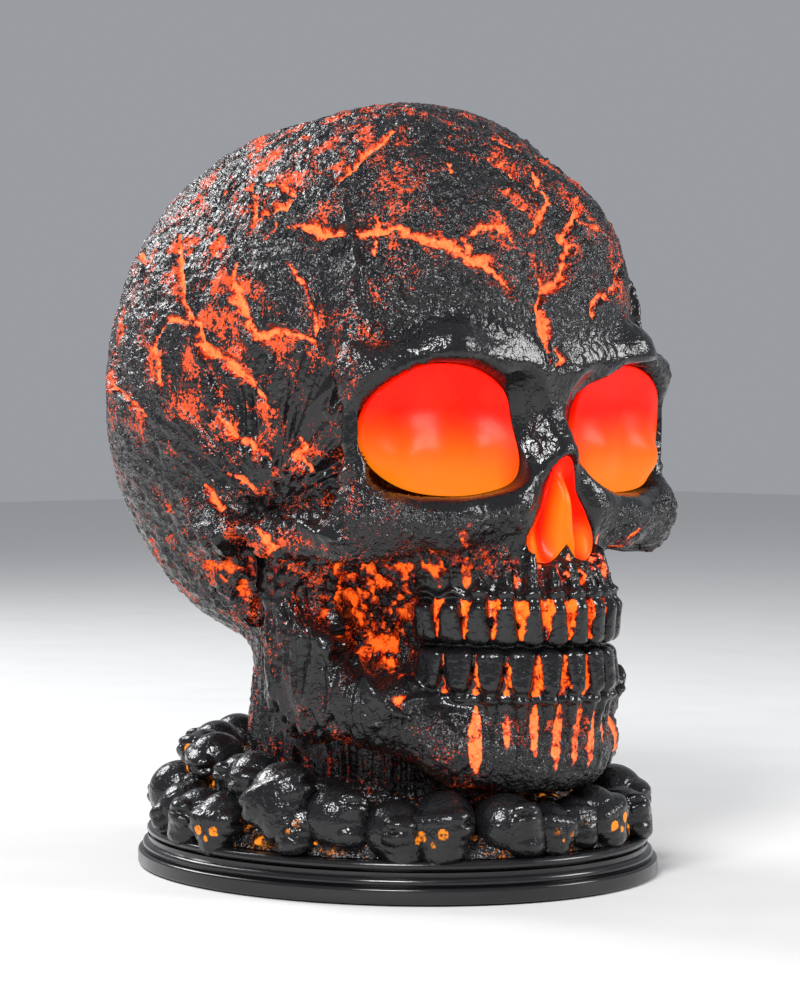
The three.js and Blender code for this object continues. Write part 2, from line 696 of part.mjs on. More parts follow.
function ovalSolid(margin, low, high, steps = OVAL_COUNT) {
  const turns = Array.from({ length: steps }, (_, i) => (2 * Math.PI * i) / steps);
  const rings = [low, high].map((height) => turns.map((turn) => ovalPoint(turn, margin, height)));
  return ringBody(rings, [0, PLINTH_Y, low], [0, PLINTH_Y, high]);
}

function beadProfile(middle, inset, steps) {
  return Array.from({ length: steps + 1 }, (_, i) => {
    const turn = Math.PI * (i / steps - 0.5);
    return [BEAD_RADIUS * Math.cos(turn) - inset, middle + BEAD_RADIUS * Math.sin(turn)];
  });
}

const BAY_HALF_X = (CELL_COUNT * (2 * CELL_RADIUS + CELL_GAP) + CELL_GAP) / 2;
const BAY_HALF_Y = (CELL_LENGTH + CELL_NUB + SPRING_ROOM + CONTACT_THICKNESS * 2) / 2;
const PLATE_TOP = PLATE_LIFT + PLATE_THICKNESS;
const BAY_TOP = PLATE_TOP + 2 * CELL_RADIUS + CELL_GAP;
const ROOF_TOP = BAY_TOP + BAY_WALL;
const DECK_BOTTOM = PLINTH_TOP - DECK;
const TONGUE_Y = PLINTH_Y - BAY_HALF_Y - BAY_WALL - DOOR_TONGUE_LENGTH / 2;
const PLATE_SCREW_TURNS = [45, 135, 225, 315].map(THREE.MathUtils.degToRad);

function ringPlaces(turns, inset) {
  return turns.map((turn) => ovalPoint(turn, -inset, 0).slice(0, 2));
}

function platePosts() {
  return ringPlaces(PLATE_SCREW_TURNS, PLINTH_WALL + DECK_INSET + BOSS_RADIUS);
}

function plinth() {
  const lowBead = RIM_LIFT + BAND_HEIGHT + BEAD_RADIUS;
  const highBead = PLINTH_TOP - BEAD_RADIUS;
  const profile = [
    [-DECK_INSET - PLINTH_WALL, DECK_BOTTOM],
    [-PLINTH_WALL, RIM_LIFT + BAND_HEIGHT],
    [-PLINTH_WALL, RIM_LIFT],
    [0, RIM_LIFT],
    [0, RIM_LIFT + BAND_HEIGHT],
    ...beadProfile(lowBead, BAND_STEP + BEAD_RADIUS, 3),
    [-GROOVE_DEPTH - BEAD_RADIUS, (lowBead + highBead) / 2],
    ...beadProfile(highBead, BAND_STEP + 2 * BEAD_RADIUS, 3),
  ];
  const turns = Array.from({ length: OVAL_COUNT }, (_, i) => (2 * Math.PI * i) / OVAL_COUNT);
  const rings = profile.map(([margin, height]) => turns.map((turn) => ovalPoint(turn, margin, height)));
  const casting = ringBody(rings, [0, PLINTH_Y, DECK_BOTTOM], [0, PLINTH_Y, PLINTH_TOP]);
  const bayHole = block(
    2 * (BAY_HALF_X + BAY_WALL + CLEARANCE), 2 * (BAY_HALF_Y + BAY_WALL + CLEARANCE),
    DECK + 2 * OVERRUN, 0, PLINTH_Y, DECK_BOTTOM - OVERRUN,
  );
  const posts = platePosts().map(([x, y]) =>
    disc(BOSS_RADIUS, DECK_BOTTOM - PLATE_TOP - CLEARANCE + OVERRUN, x, y, PLATE_TOP + CLEARANCE, 10),
  );
  const pilots = platePosts().map(([x, y]) =>
    disc(SCREW_RADIUS + CLEARANCE, DECK_BOTTOM - PLATE_TOP + OVERRUN, x, y, PLATE_TOP, 8),
  );
  const neckHoles = neckBossPlaces().flatMap(([x, y]) => [
    disc(SCREW_RADIUS + CLEARANCE, DECK + 2 * OVERRUN, x, y, DECK_BOTTOM - OVERRUN, 8),
    disc(SCREW_HEAD_RADIUS + CLEARANCE, SCREW_HEAD + OVERRUN, x, y, DECK_BOTTOM - OVERRUN, 10),
  ]);
  return cut(join(casting, ...posts), bayHole, ...pilots, ...neckHoles);
}

// Bottom plate with the battery bay, its door and its screws
const SWITCH_Y = PLINTH_Y + BAY_HALF_Y + BAY_WALL + SWITCH_WIDTH + BOSS_RADIUS;

function hookPlaces() {
  const pitch = 2 * CELL_RADIUS + CELL_GAP;
  return [-0.5, 0.5].map((share) => share * pitch);
}

function bottomPlate() {
  const plate = ovalSolid(-PLINTH_WALL - CLEARANCE, PLATE_LIFT, PLATE_TOP);
  const outerX = 2 * (BAY_HALF_X + BAY_WALL);
  const outerY = 2 * (BAY_HALF_Y + BAY_WALL);
  const bay = block(outerX, outerY, ROOF_TOP - PLATE_LIFT, 0, PLINTH_Y, PLATE_LIFT);
  const room = block(
    2 * BAY_HALF_X, 2 * BAY_HALF_Y, BAY_TOP - PLATE_LIFT + OVERRUN,
    0, PLINTH_Y, PLATE_LIFT - OVERRUN,
  );
  const tongueBossHeight = DECK_BOTTOM - CLEARANCE - PLATE_LIFT;
  const tongueBoss = disc(BOSS_RADIUS + OVERRUN, tongueBossHeight, 0, TONGUE_Y, PLATE_LIFT);
  const tongueRoom = block(
    DOOR_TONGUE_WIDTH + 2 * CLEARANCE, DOOR_TONGUE_LENGTH + BAY_WALL + CLEARANCE + OVERRUN,
    DOOR_THICKNESS + CLEARANCE + OVERRUN,
    0, TONGUE_Y + (BAY_WALL + OVERRUN - CLEARANCE) / 2, PLATE_LIFT - OVERRUN,
  );
  const tonguePilot = disc(SCREW_RADIUS + CLEARANCE, DECK_BOTTOM, 0, TONGUE_Y, PLATE_LIFT, 10);
  const hookRooms = hookPlaces().map((x) =>
    block(
      HOOK_WIDTH + 4 * CLEARANCE, BAY_WALL + OVERRUN, HOOK_THICKNESS + HOOK_ROOM,
      x, PLINTH_Y + BAY_HALF_Y + BAY_WALL / 2, PLATE_TOP,
    ),
  );
  const screwHoles = platePosts().flatMap(([x, y]) => [
    disc(SCREW_RADIUS + CLEARANCE, PLATE_THICKNESS + 2 * OVERRUN, x, y, PLATE_LIFT - OVERRUN, 10),
    disc(SCREW_HEAD_RADIUS + CLEARANCE, SCREW_HEAD + OVERRUN, x, y, PLATE_LIFT - OVERRUN, 12),
  ]);
  const slot = block(
    SWITCH_TRAVEL + KNOB_LENGTH + 2 * CLEARANCE, KNOB_WIDTH + 2 * CLEARANCE,
    PLATE_THICKNESS + 2 * OVERRUN, 0, SWITCH_Y, PLATE_LIFT - OVERRUN,
  );
  const leadHole = disc(3 * WIRE_RADIUS, BAY_WALL + 2 * OVERRUN, 0, PLINTH_Y, BAY_TOP - OVERRUN, 10);
  const holes = [room, tongueRoom, tonguePilot, ...hookRooms, ...screwHoles, slot, leadHole];
  return cut(join(plate, bay, tongueBoss), ...holes);
}

function batteryDoor() {
  const width = 2 * (BAY_HALF_X - CLEARANCE);
  const length = 2 * (BAY_HALF_Y - CLEARANCE);
  const leaf = block(width, length, DOOR_THICKNESS, 0, PLINTH_Y, PLATE_LIFT);
  const tongue = block(
    DOOR_TONGUE_WIDTH, DOOR_TONGUE_LENGTH + BAY_WALL + OVERRUN, DOOR_THICKNESS,
    0, TONGUE_Y + (BAY_WALL + OVERRUN) / 2, PLATE_LIFT,
  );
  const edge = PLINTH_Y + BAY_HALF_Y - CLEARANCE;
  const hookFoot = PLATE_TOP + CLEARANCE;
  const hookHeight = hookFoot + HOOK_THICKNESS - PLATE_LIFT;
  const hooks = hookPlaces().flatMap((x) => [
    block(HOOK_WIDTH, HOOK_THICKNESS, hookHeight, x, edge - HOOK_THICKNESS / 2, PLATE_LIFT),
    block(HOOK_WIDTH, HOOK_REACH, HOOK_THICKNESS, x, edge + HOOK_REACH / 2 - CLEARANCE, hookFoot),
  ]);
  const ribs = [-0.5, 0, 0.5].map((share) =>
    block(
      width - 4 * BAY_WALL, RIB_WIDTH, RIB_HEIGHT + CLEARANCE,
      0, PLINTH_Y + share * BAY_HALF_Y, PLATE_LIFT + DOOR_THICKNESS - CLEARANCE,
    ),
  );
  const below = PLATE_LIFT - OVERRUN;
  const hole = disc(SCREW_RADIUS + CLEARANCE, DOOR_THICKNESS + 2 * OVERRUN, 0, TONGUE_Y, below, 10);
  const seat = disc(SCREW_HEAD_RADIUS + CLEARANCE, SCREW_HEAD + OVERRUN, 0, TONGUE_Y, below, 12);
  return cut(join(leaf, tongue, ...hooks, ...ribs), hole, seat);
}

// A screw driven upwards: its slotted head is the lowest thing
function screw(x, y, headFoot, length) {
  const head = disc(SCREW_HEAD_RADIUS, SCREW_HEAD - CLEARANCE, x, y, headFoot, 10);
  const shank = disc(SCREW_RADIUS, length, x, y, headFoot, 6);
  const slotLength = 2 * SCREW_HEAD_RADIUS + OVERRUN;
  const slot = block(slotLength, SCREW_SLOT, SCREW_SLOT, x, y, headFoot - SCREW_SLOT / 2);
  return cut(join(head, shank), slot);
}

// One cell lies along Y, its nub towards an end that alternates, on a spring at the other
function cellPlaces() {
  const pitch = 2 * CELL_RADIUS + CELL_GAP;
  return Array.from({ length: CELL_COUNT }, (_, i) => ({
    x: (i - (CELL_COUNT - 1) / 2) * pitch,
    heading: i % 2 ? -1 : 1,
  }));
}

const CELL_MIDDLE = PLATE_TOP + CELL_RADIUS;
const NUB_END = BAY_HALF_Y - CONTACT_THICKNESS - 2 * CLEARANCE;

function battery(x, heading) {
  const profile = [
    [0, 0], [CELL_RADIUS - CELL_CHAMFER, 0], [CELL_RADIUS, CELL_CHAMFER],
    [CELL_RADIUS, CELL_LENGTH - CELL_CHAMFER], [CELL_RADIUS - CELL_CHAMFER, CELL_LENGTH],
    [CELL_NUB_RADIUS, CELL_LENGTH], [CELL_NUB_RADIUS, CELL_LENGTH + CELL_NUB],
    [0, CELL_LENGTH + CELL_NUB],
  ];
  const geometry = new THREE.LatheGeometry(profile.map(([r, l]) => new THREE.Vector2(r, l)), 12);
  geometry.translate(0, NUB_END - CELL_LENGTH - CELL_NUB, 0);
  if (heading < 0) geometry.rotateZ(Math.PI);
  return solid(geometry.translate(x, PLINTH_Y, CELL_MIDDLE));
}

function endPlate(x, heading) {
  const y = PLINTH_Y + heading * (BAY_HALF_Y - CONTACT_THICKNESS / 2 - CLEARANCE);
  return block(CONTACT_WIDTH, CONTACT_THICKNESS, CONTACT_HEIGHT, x, y, CELL_MIDDLE - CONTACT_HEIGHT / 2);
}

function springContact(x, heading) {
  const room = BAY_HALF_Y + NUB_END - CELL_LENGTH - CELL_NUB - CONTACT_THICKNESS - 2 * CLEARANCE;
  const start = BAY_HALF_Y - CLEARANCE - CONTACT_THICKNESS + SPRING_WIRE / 2;
  class Coil extends THREE.Curve {
    getPoint(share) {
      const turn = 2 * Math.PI * SPRING_TURNS * share;
      const radius = SPRING_RADIUS + (SPRING_TIP_RADIUS - SPRING_RADIUS) * share;
      return new THREE.Vector3(
        x + radius * Math.cos(turn),
        PLINTH_Y - heading * (start - room * share),
        CELL_MIDDLE + radius * Math.sin(turn),
      );
    }
  }
  const wire = tube(new Coil(), SPRING_WIRE, SPRING_TURNS * 5, 4);
  return join(endPlate(x, -heading), wire);
}

function tube(path, radius, steps, sides) {
  const section = new THREE.Shape(
    Array.from({ length: sides }, (_, i) => {
      const turn = (2 * Math.PI * i) / sides;
      return new THREE.Vector2(radius * Math.cos(turn), radius * Math.sin(turn));
    }),
  );
  return solid(new THREE.ExtrudeGeometry(section, { extrudePath: path, steps }));
}

// Switch: a case on the plate, and a slider whose knob comes through the plate's slot
function switchBody() {
  const foot = PLATE_TOP + CLEARANCE;
  const slack = 2 * KNOB_FLANGE + 2 * CLEARANCE;
  const room = block(
    SWITCH_TRAVEL + KNOB_LENGTH + slack, KNOB_WIDTH + slack, SWITCH_HEIGHT / 2 + OVERRUN,
    0, SWITCH_Y, foot - OVERRUN,
  );
  return cut(block(SWITCH_LENGTH, SWITCH_WIDTH, SWITCH_HEIGHT, 0, SWITCH_Y, foot), room);
}

function switchSlider() {
  const x = -SWITCH_TRAVEL / 2;
  const foot = PLATE_LIFT - KNOB_DROP;
  const flangeFoot = PLATE_TOP + CLEARANCE;
  const knob = block(KNOB_LENGTH, KNOB_WIDTH, flangeFoot - foot + KNOB_FLANGE / 2, x, SWITCH_Y, foot);
  const flange = block(
    KNOB_LENGTH + 2 * KNOB_FLANGE - CLEARANCE, KNOB_WIDTH + 2 * KNOB_FLANGE - CLEARANCE,
    KNOB_FLANGE - CLEARANCE, x, SWITCH_Y, flangeFoot,
  );
  const groove = block(SCREW_SLOT, KNOB_WIDTH + OVERRUN, SCREW_SLOT, x, SWITCH_Y, foot - SCREW_SLOT / 2);
  return cut(join(knob, flange), groove);
}

// Light unit on the roof of the bay: a hollow post with a round board of lights, and a driver board
const POST_FOOT = ROOF_TOP + CLEARANCE;
const LED_BOARD_FOOT = POST_FOOT + POST_HEIGHT + CLEARANCE;
const BOARD_FOOT = ROOF_TOP + CLEARANCE;
const BOARD_Y = PLINTH_Y + BAY_HALF_Y - BOARD_LENGTH / 2;

function lampPost() {
  const profile = [
    [POST_BORE, 0], [POST_FOOT_RADIUS, 0], [POST_FOOT_RADIUS, BAY_WALL], [POST_RADIUS + BAY_WALL, BAY_WALL],
    [POST_RADIUS, 3 * BAY_WALL], [POST_RADIUS, POST_HEIGHT - 2 * BAY_WALL],
    [POST_FOOT_RADIUS, POST_HEIGHT - BAY_WALL], [POST_FOOT_RADIUS, POST_HEIGHT], [POST_BORE, POST_HEIGHT],
  ];
  const post = revolved([...profile, profile[0]], 0, PLINTH_Y, POST_FOOT, 12);
  const window = block(
    POST_RADIUS, POST_FOOT_RADIUS + OVERRUN, POST_RADIUS,
    0, PLINTH_Y + POST_FOOT_RADIUS / 2 + OVERRUN, POST_FOOT + 2 * BAY_WALL,
  );
  return cut(post, window);
}

function ledPlaces() {
  return [-90, 30, 150].map((degrees) => {
    const turn = THREE.MathUtils.degToRad(degrees);
    return [LED_RING_RADIUS * Math.cos(turn), PLINTH_Y + LED_RING_RADIUS * Math.sin(turn)];
  });
}

function ledBoard() {
  const board = disc(LED_BOARD_RADIUS, BOARD_THICKNESS, 0, PLINTH_Y, LED_BOARD_FOOT, 20);
  const top = LED_BOARD_FOOT + BOARD_THICKNESS - CLEARANCE;
  const parts = ledPlaces().map(([x, y]) =>
    block(2 * PAD_SIZE, PAD_SIZE, PAD_SIZE, -x / 2, PLINTH_Y - (y - PLINTH_Y) / 2, top),
  );
  const hole = disc(
    WIRE_APART + 2 * WIRE_RADIUS, BOARD_THICKNESS + 2 * OVERRUN, 0, PLINTH_Y, LED_BOARD_FOOT - OVERRUN, 12,
  );
  return cut(join(board, ...parts), hole);
}

function led([x, y]) {
  const dome = [0, 1 / 3, 2 / 3].map((share) => {
    const turn = (Math.PI / 2) * share;
    return [LED_RADIUS * Math.cos(turn), LED_HEIGHT + LED_RADIUS * Math.sin(turn)];
  });
  const lip = LED_RADIUS + LED_LIP;
  const profile = [
    [0, 0], [lip, 0], [lip, LED_FLANGE], [LED_RADIUS, LED_FLANGE],
    ...dome, [0, LED_HEIGHT + LED_RADIUS],
  ];
  return revolved(profile, x, y, LED_BOARD_FOOT + BOARD_THICKNESS + CLEARANCE, 8);
}

function circuitBoard() {
  const board = block(BOARD_WIDTH, BOARD_LENGTH, BOARD_THICKNESS, 0, BOARD_Y, BOARD_FOOT);
  const top = BOARD_FOOT + BOARD_THICKNESS - CLEARANCE;
  const chip = block(CHIP_SIZE, CHIP_SIZE, BOARD_THICKNESS, BOARD_WIDTH / 4, BOARD_Y, top);
  const can = disc(LED_RADIUS, LED_HEIGHT, -BOARD_WIDTH / 3, BOARD_Y, top, 12);
  const pads = [-1, 1].map((side) =>
    block(PAD_SIZE, PAD_SIZE, PAD_SIZE / 2, 2 * side * WIRE_APART, BOARD_Y - BOARD_LENGTH / 3, top),
  );
  const postRoom = disc(
    POST_FOOT_RADIUS + CLEARANCE, 2 * LED_HEIGHT, 0, PLINTH_Y, BOARD_FOOT - OVERRUN, 24,
  );
  return cut(join(board, chip, can, ...pads), postRoom);
}

// A supply wire: from the driver board through the post's window and up its bore to the lights
function supplyWire(side) {
  const x = side * WIRE_APART;
  const low = BOARD_FOOT + BOARD_THICKNESS + 2 * WIRE_RADIUS + PAD_SIZE / 2 + CLEARANCE;
  const windowMiddle = POST_FOOT + 2 * BAY_WALL + POST_RADIUS / 2;
  const top = LED_BOARD_FOOT + BOARD_THICKNESS / 2;
  const route = [
    [2 * x, BOARD_Y - BOARD_LENGTH / 4, low],
    [x * 1.4, PLINTH_Y + POST_RADIUS, windowMiddle],
    [x, PLINTH_Y + WIRE_RADIUS, windowMiddle + POST_RADIUS / 2],
    [x, PLINTH_Y, windowMiddle + 2 * POST_RADIUS],
    [x, PLINTH_Y, POST_FOOT + POST_HEIGHT / 2],
    [x, PLINTH_Y, top],
  ].map((point) => new THREE.Vector3(...point));
  return tube(new THREE.CatmullRomCurve3(route), WIRE_RADIUS, 14, 4);
}

function footPlaces() {
  const turns = [0, 90, 180, 270].map(THREE.MathUtils.degToRad);
  return ringPlaces(turns, PLINTH_WALL + FOOT_RADIUS + 2 * CLEARANCE);
}

function foot([x, y]) {
  const height = PLATE_LIFT - CLEARANCE;
  const profile = [
    [0, 0], [FOOT_RADIUS - FOOT_CHAMFER, 0], [FOOT_RADIUS, FOOT_CHAMFER],
    [FOOT_RADIUS, height], [0, height],
  ];
  return revolved(profile, x, y, 0, 12);
}

// The mound of small skulls round the neck
const MOUND_COUNT = 32;
const CREST_shares = { front: 1.65, behind: 1.75, waves: 0.11 };
const SLOPE_shares = { ripple: 0.14, lip: 0.5, low: 1.4, waves: 0.2, high: 0.86 };

// Height of the mound's crest round the neck: high behind, low under the chin
function crestHeight(turn) {
  const back = (1 + Math.sin(turn)) / 2;
  const waves = Math.sin(5 * turn + 1) + Math.sin(3 * turn);
  const share = CREST_shares.front + CREST_shares.behind * back + CREST_shares.waves * waves;
  return PLINTH_TOP + SMALL_SKULL * share;
}

function mound() {
  const neckX = NECK_shares[0] * HALF_WIDTH;
  const neckY = NECK_shares[1] * HALF_LENGTH;
  const columns = Array.from({ length: MOUND_COUNT }, (_, i) => {
    const turn = (2 * Math.PI * i) / MOUND_COUNT;
    const crest = crestHeight(turn);
    const at = (margin, height) => ovalPoint(turn, margin, height, neckX, neckY);
    const rim = (margin, height) => ovalPoint(turn, -MOUND_INSET + margin, height);
    const ripple = SMALL_SKULL * SLOPE_shares.ripple * Math.sin(9 * turn);
    const lip = rim(ripple - OVERRUN, NECK_FOOT + SMALL_SKULL * SLOPE_shares.lip);
    const inner = at(-SHELL_WALL, crest);
    const slope = (share, height) => [
      lip[0] + (inner[0] - lip[0]) * share,
      lip[1] + (inner[1] - lip[1]) * share,
      height,
    ];
    const low = SLOPE_shares.low + SLOPE_shares.waves * Math.sin(7 * turn + 2);
    return [
      at(-SHELL_WALL, NECK_FOOT),
      rim(ripple, NECK_FOOT),
      lip,
      slope(0.3, NECK_FOOT + SMALL_SKULL * low),
      slope(0.65, PLINTH_TOP + (crest - PLINTH_TOP) * SLOPE_shares.high),
      inner,
    ];
  });
  return loopBody(columns);
}

// Small skulls: turn round the mound in degrees, share of the way out, height and size in shares of
// the common size, and the way that it faces. The first ones have eye sockets.
const SOCKETED_COUNT = 13;
const SMALL_SKULL_shares = [
  [149, 0.83, 1.35, 0.95, -45], [152, 0.72, 2.6, 0.85, 150], [-178, 0.74, 2.2, 0.9, -120],
  [-163, 0.83, 1.75, 1.15, -150], [-148, 0.85, 1.25, 0.95, -45], [-123, 0.86, 1.05, 1, -150],
  [-106, 0.86, 1, 0.95, -40], [-76, 0.86, 1, 0.9, -80], [-45, 0.84, 1.15, 1, -20],
  [-8, 0.83, 1.2, 1.05, 10], [32, 0.83, 1.2, 1, 50], [68, 0.85, 1.25, 1.1, 75],
  [104, 0.84, 1.2, 1, 130],
  [1, 0.87, 0.78, 0.79, -61], [11, 0.86, 0.66, 0.73, 81], [49, 0.84, 0.79, 0.78, 102],
  [58, 0.87, 0.87, 0.77, 113], [84, 0.86, 0.7, 0.79, 127], [95, 0.85, 0.82, 0.82, 137],
  [120, 0.85, 0.65, 0.93, 62], [134, 0.85, 0.89, 0.81, -165], [157, 0.86, 0.71, 0.87, 102],
  [169, 0.87, 0.74, 0.9, 126], [179, 0.87, 0.75, 0.88, -165], [-158, 0.87, 0.86, 0.81, -150],
  [-134, 0.86, 0.81, 0.94, -75], [-94, 0.85, 0.78, 0.78, -96], [-84, 0.84, 0.87, 0.78, -91],
  [-58, 0.88, 0.77, 0.82, -35], [-36, 0.87, 0.78, 0.88, -8], [-26, 0.84, 0.69, 0.77, -68],
  [7, 0.72, 2.31, 0.82, 33], [26, 0.75, 2.49, 0.81, 55], [40, 0.74, 2.55, 0.77, 92],
  [57, 0.74, 2.69, 0.84, 32], [74, 0.71, 2.82, 0.73, 78], [90, 0.74, 2.78, 0.72, 98],
  [106, 0.73, 2.66, 0.89, 110], [123, 0.73, 2.65, 0.86, 88], [139, 0.74, 2.7, 0.76, -152],
  [172, 0.72, 2.21, 0.73, 104], [-155, 0.72, 1.69, 0.74, 162], [-26, 0.74, 1.59, 0.78, -69],
  [-9, 0.71, 1.95, 0.94, -28],
];

// Forms of one small skull: centre and radii in shares of its size
const SMALL_BRAIN_shares = [[0, 0.25, 0.2], [0.92, 1.1, 1]];
const SMALL_JAW_shares = [[0, -0.62, -0.42], [0.55, 0.46, 0.66]];
const SMALL_SOCKET_shares = [-0.38, 0.38].map((x) => [[x, -1, 0.02], [0.26, 0.46, 0.28]]);

function smallSkull([turn, out, height, size, heading], index) {
  const r = SMALL_SKULL * size;
  const middle = NECK_FOOT + SMALL_SKULL * height;
  const round = ([centre, radii], across, up) =>
    new THREE.SphereGeometry(1, across, up)
      .scale(...radii.map((v) => v * r))
      .translate(...centre.map((v) => v * r));
  const near = index < SOCKETED_COUNT;
  const brain = round(SMALL_BRAIN_shares, near ? 7 : 6, near ? 5 : 4);
  const forms = near ? [brain, round(SMALL_JAW_shares, 4, 3)] : [brain];
  const sockets = near ? SMALL_SOCKET_shares.map((shares) => round(shares, 4, 2)) : [];
  const rest = ovalPoint(THREE.MathUtils.degToRad(turn), 0, 0);
  const x = rest[0] * out;
  const y = PLINTH_Y + (rest[1] - PLINTH_Y) * out;
  const turned = (form) =>
    solid(form.rotateZ(THREE.MathUtils.degToRad(heading + 90)).translate(x, y, middle));
  return cut(join(...forms.map(turned)), ...sockets.map(turned));
}

function skullPile() {
  const skulls = SMALL_SKULL_shares.map(smallSkull);
  const under = block(2 * PLINTH_WIDTH, 2 * PLINTH_LENGTH, PLINTH_TOP, 0, PLINTH_Y, CLEARANCE);
  return largest(cut(join(mound(), ...skulls), under, headBody(2 * CLEARANCE, CLEARANCE)));
}

// Finishes, and the assembly
const FINISHES = {
  shell: { color: 0x1a1210, roughness: 0.42, metalness: 0 },
  lens: { color: 0xff3a08, roughness: 0.35, metalness: 0 },
  plinth: { color: 0x0b0b0d, roughness: 0.3, metalness: 0 },
  plate: { color: 0x151516, roughness: 0.6, metalness: 0 },
  post: { color: 0xe8e6e0, roughness: 0.6, metalness: 0 },
  board: { color: 0x1f5a34, roughness: 0.5, metalness: 0 },
  led: { color: 0xff5a2a, roughness: 0.2, metalness: 0 },
  cell: { color: 0x3a3a40, roughness: 0.4, metalness: 0.3 },
  steel: { color: 0xb9bbbd, roughness: 0.35, metalness: 1 },
  rubber: { color: 0x19191a, roughness: 0.9, metalness: 0 },
  wireRed: { color: 0xa51c16, roughness: 0.5, metalness: 0 },
  wireBlack: { color: 0x101010, roughness: 0.5, metalness: 0 },
};

const lamp = new THREE.Group();

function add(name, finish, shape) {
  const material = new THREE.MeshStandardMaterial(FINISHES[finish]);
  const mesh = new THREE.Mesh(geometryOf(shape), material);
  mesh.name = name;
  lamp.add(mesh);
}

add("skull_shell", "shell", skullShell());
add("eye_lens_right", "lens", lensBody(ORBIT_OUTLINE, eyeDepth, orbitPoint(-1), true));
add("eye_lens_left", "lens", lensBody(ORBIT_OUTLINE, eyeDepth, orbitPoint(1), false));
add("nose_lens", "lens", lensBody(NOSE_OUTLINE, noseDepth, nosePoint(), true));
add("skull_pile", "shell", skullPile());
add("plinth", "plinth", plinth());
add("bottom_plate", "plate", bottomPlate());
add("battery_door", "plate", batteryDoor());
const HEAD_FOOT = PLATE_LIFT + CLEARANCE / 2;
add("door_screw", "steel", screw(0, TONGUE_Y, HEAD_FOOT, DECK_BOTTOM - PLATE_LIFT - OVERRUN));
cellPlaces().forEach(({ x, heading }, i) => {
  add(`battery_${i + 1}`, "cell", battery(x, heading));
  add(`plate_contact_${i + 1}`, "steel", endPlate(x, heading));
  add(`spring_contact_${i + 1}`, "steel", springContact(x, heading));
});
add("switch_body", "plate", switchBody());
add("switch_slider", "plate", switchSlider());
add("circuit_board", "board", circuitBoard());
add("lamp_post", "post", lampPost());
add("led_board", "board", ledBoard());
ledPlaces().forEach((spot, i) => add(`led_${i + 1}`, "led", led(spot)));
add("supply_wire_red", "wireRed", supplyWire(1));
add("supply_wire_black", "wireBlack", supplyWire(-1));
platePosts().forEach(([x, y], i) => {
  add(`plate_screw_${i + 1}`, "steel", screw(x, y, HEAD_FOOT, DECK_BOTTOM - PLATE_LIFT));
});
neckBossPlaces().forEach(([x, y], i) => {
  add(`neck_screw_${i + 1}`, "steel", screw(x, y, DECK_BOTTOM + CLEARANCE / 2, BOSS_HEIGHT));
});
footPlaces().forEach((spot, i) => add(`foot_${i + 1}`, "rubber", foot(spot)));

export default lamp;
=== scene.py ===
"""The skull lamp's look: detailed skin, lenses, pile and plinth over the CAD frame, and its finishes."""
import math

import bpy
import numpy as np
from bpy.props import FloatProperty, FloatVectorProperty, IntProperty, PointerProperty
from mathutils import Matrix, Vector
from mathutils.kdtree import KDTree


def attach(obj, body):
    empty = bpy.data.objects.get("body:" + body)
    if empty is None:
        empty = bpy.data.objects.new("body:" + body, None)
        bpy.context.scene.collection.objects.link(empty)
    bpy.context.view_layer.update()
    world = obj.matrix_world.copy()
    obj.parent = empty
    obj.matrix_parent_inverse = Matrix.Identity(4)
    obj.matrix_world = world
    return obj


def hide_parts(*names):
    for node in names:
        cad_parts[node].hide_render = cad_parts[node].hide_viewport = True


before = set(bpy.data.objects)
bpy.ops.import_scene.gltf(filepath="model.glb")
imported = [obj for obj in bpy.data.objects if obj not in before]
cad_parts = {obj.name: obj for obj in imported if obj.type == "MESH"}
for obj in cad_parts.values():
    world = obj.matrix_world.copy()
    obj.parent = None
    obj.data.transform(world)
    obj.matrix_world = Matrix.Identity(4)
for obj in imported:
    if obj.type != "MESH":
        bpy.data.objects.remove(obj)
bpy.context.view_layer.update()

bl_info = {
    "name": "Skull lamp",
    "version": (1, 0, 0),
    "blender": (4, 5, 0),
    "location": "View3D > Sidebar > Skull lamp",
    "description": "Builds the skull lamp's skin, lenses, pile of small skulls, plinth, finishes and stage",
    "category": "Object",
}

MM = 0.001
BODY = "lamp"

# Measures of the openings, the teeth, the lenses and the grids, in millimetres or counts
DECK_GAP = 0.3
EYE_TURN = math.radians(10)
OPENING_DEPTH = 12
FRONT_CROWDING = 0.32
DOME_RADIUS = 78
TOOTH_REACH, MOUTH_LOW, MOUTH_HIGH, MOUTH_RELIEF = 26, 32, 112, 12
CROWN_EDGE = 2.3
ROOT_LENGTHS = (17, 16, 21, 16, 14)
RIM_OUTSIDE, LENS_GAP, LENS_RINGS = 3, 0.3, 40
MOUND_COLUMNS, MOUND_ROWS, MOUND_FOOT, CHIPS = 512, 56, 12, 150
LENS_COLUMNS, PLINTH_COLUMNS, SMALL_SKULL_GRID, CHIP_GRID = 128, 256, (96, 64), (16, 10)
MARK_STEP, STRAY_STEP, STRAY_BEND, LINE_SHIFT = 0.8, 6, 0.55, 1.2

# Relief of the skin in millimetres, then the power of each glow
RIDGE_HEIGHT, FIBRE_HEIGHT, ROCK_HEIGHT, COAL_DEPTH = 2.8, 3.2, 2.4, 0.9
GUM_HEIGHT, GUM_REACH, WAVE_HEIGHT, CREASE_DEPTH = 1.25, 0.95, 0.5, 0.7
SKIN_GLOW, PILE_GLOW, LENS_GLOW, LED_GLOW = 0.8, 0.9, 0.88, 4.0

# Seeds of the random draws, and the factors that scramble a lattice's cells
CRACK_SEED, SKIN_SEED, PILE_SEED = 11, 3, 9
HASH_FACTORS = (374761393, 668265263, 1103515245)
HASH_MIX = 1274126177

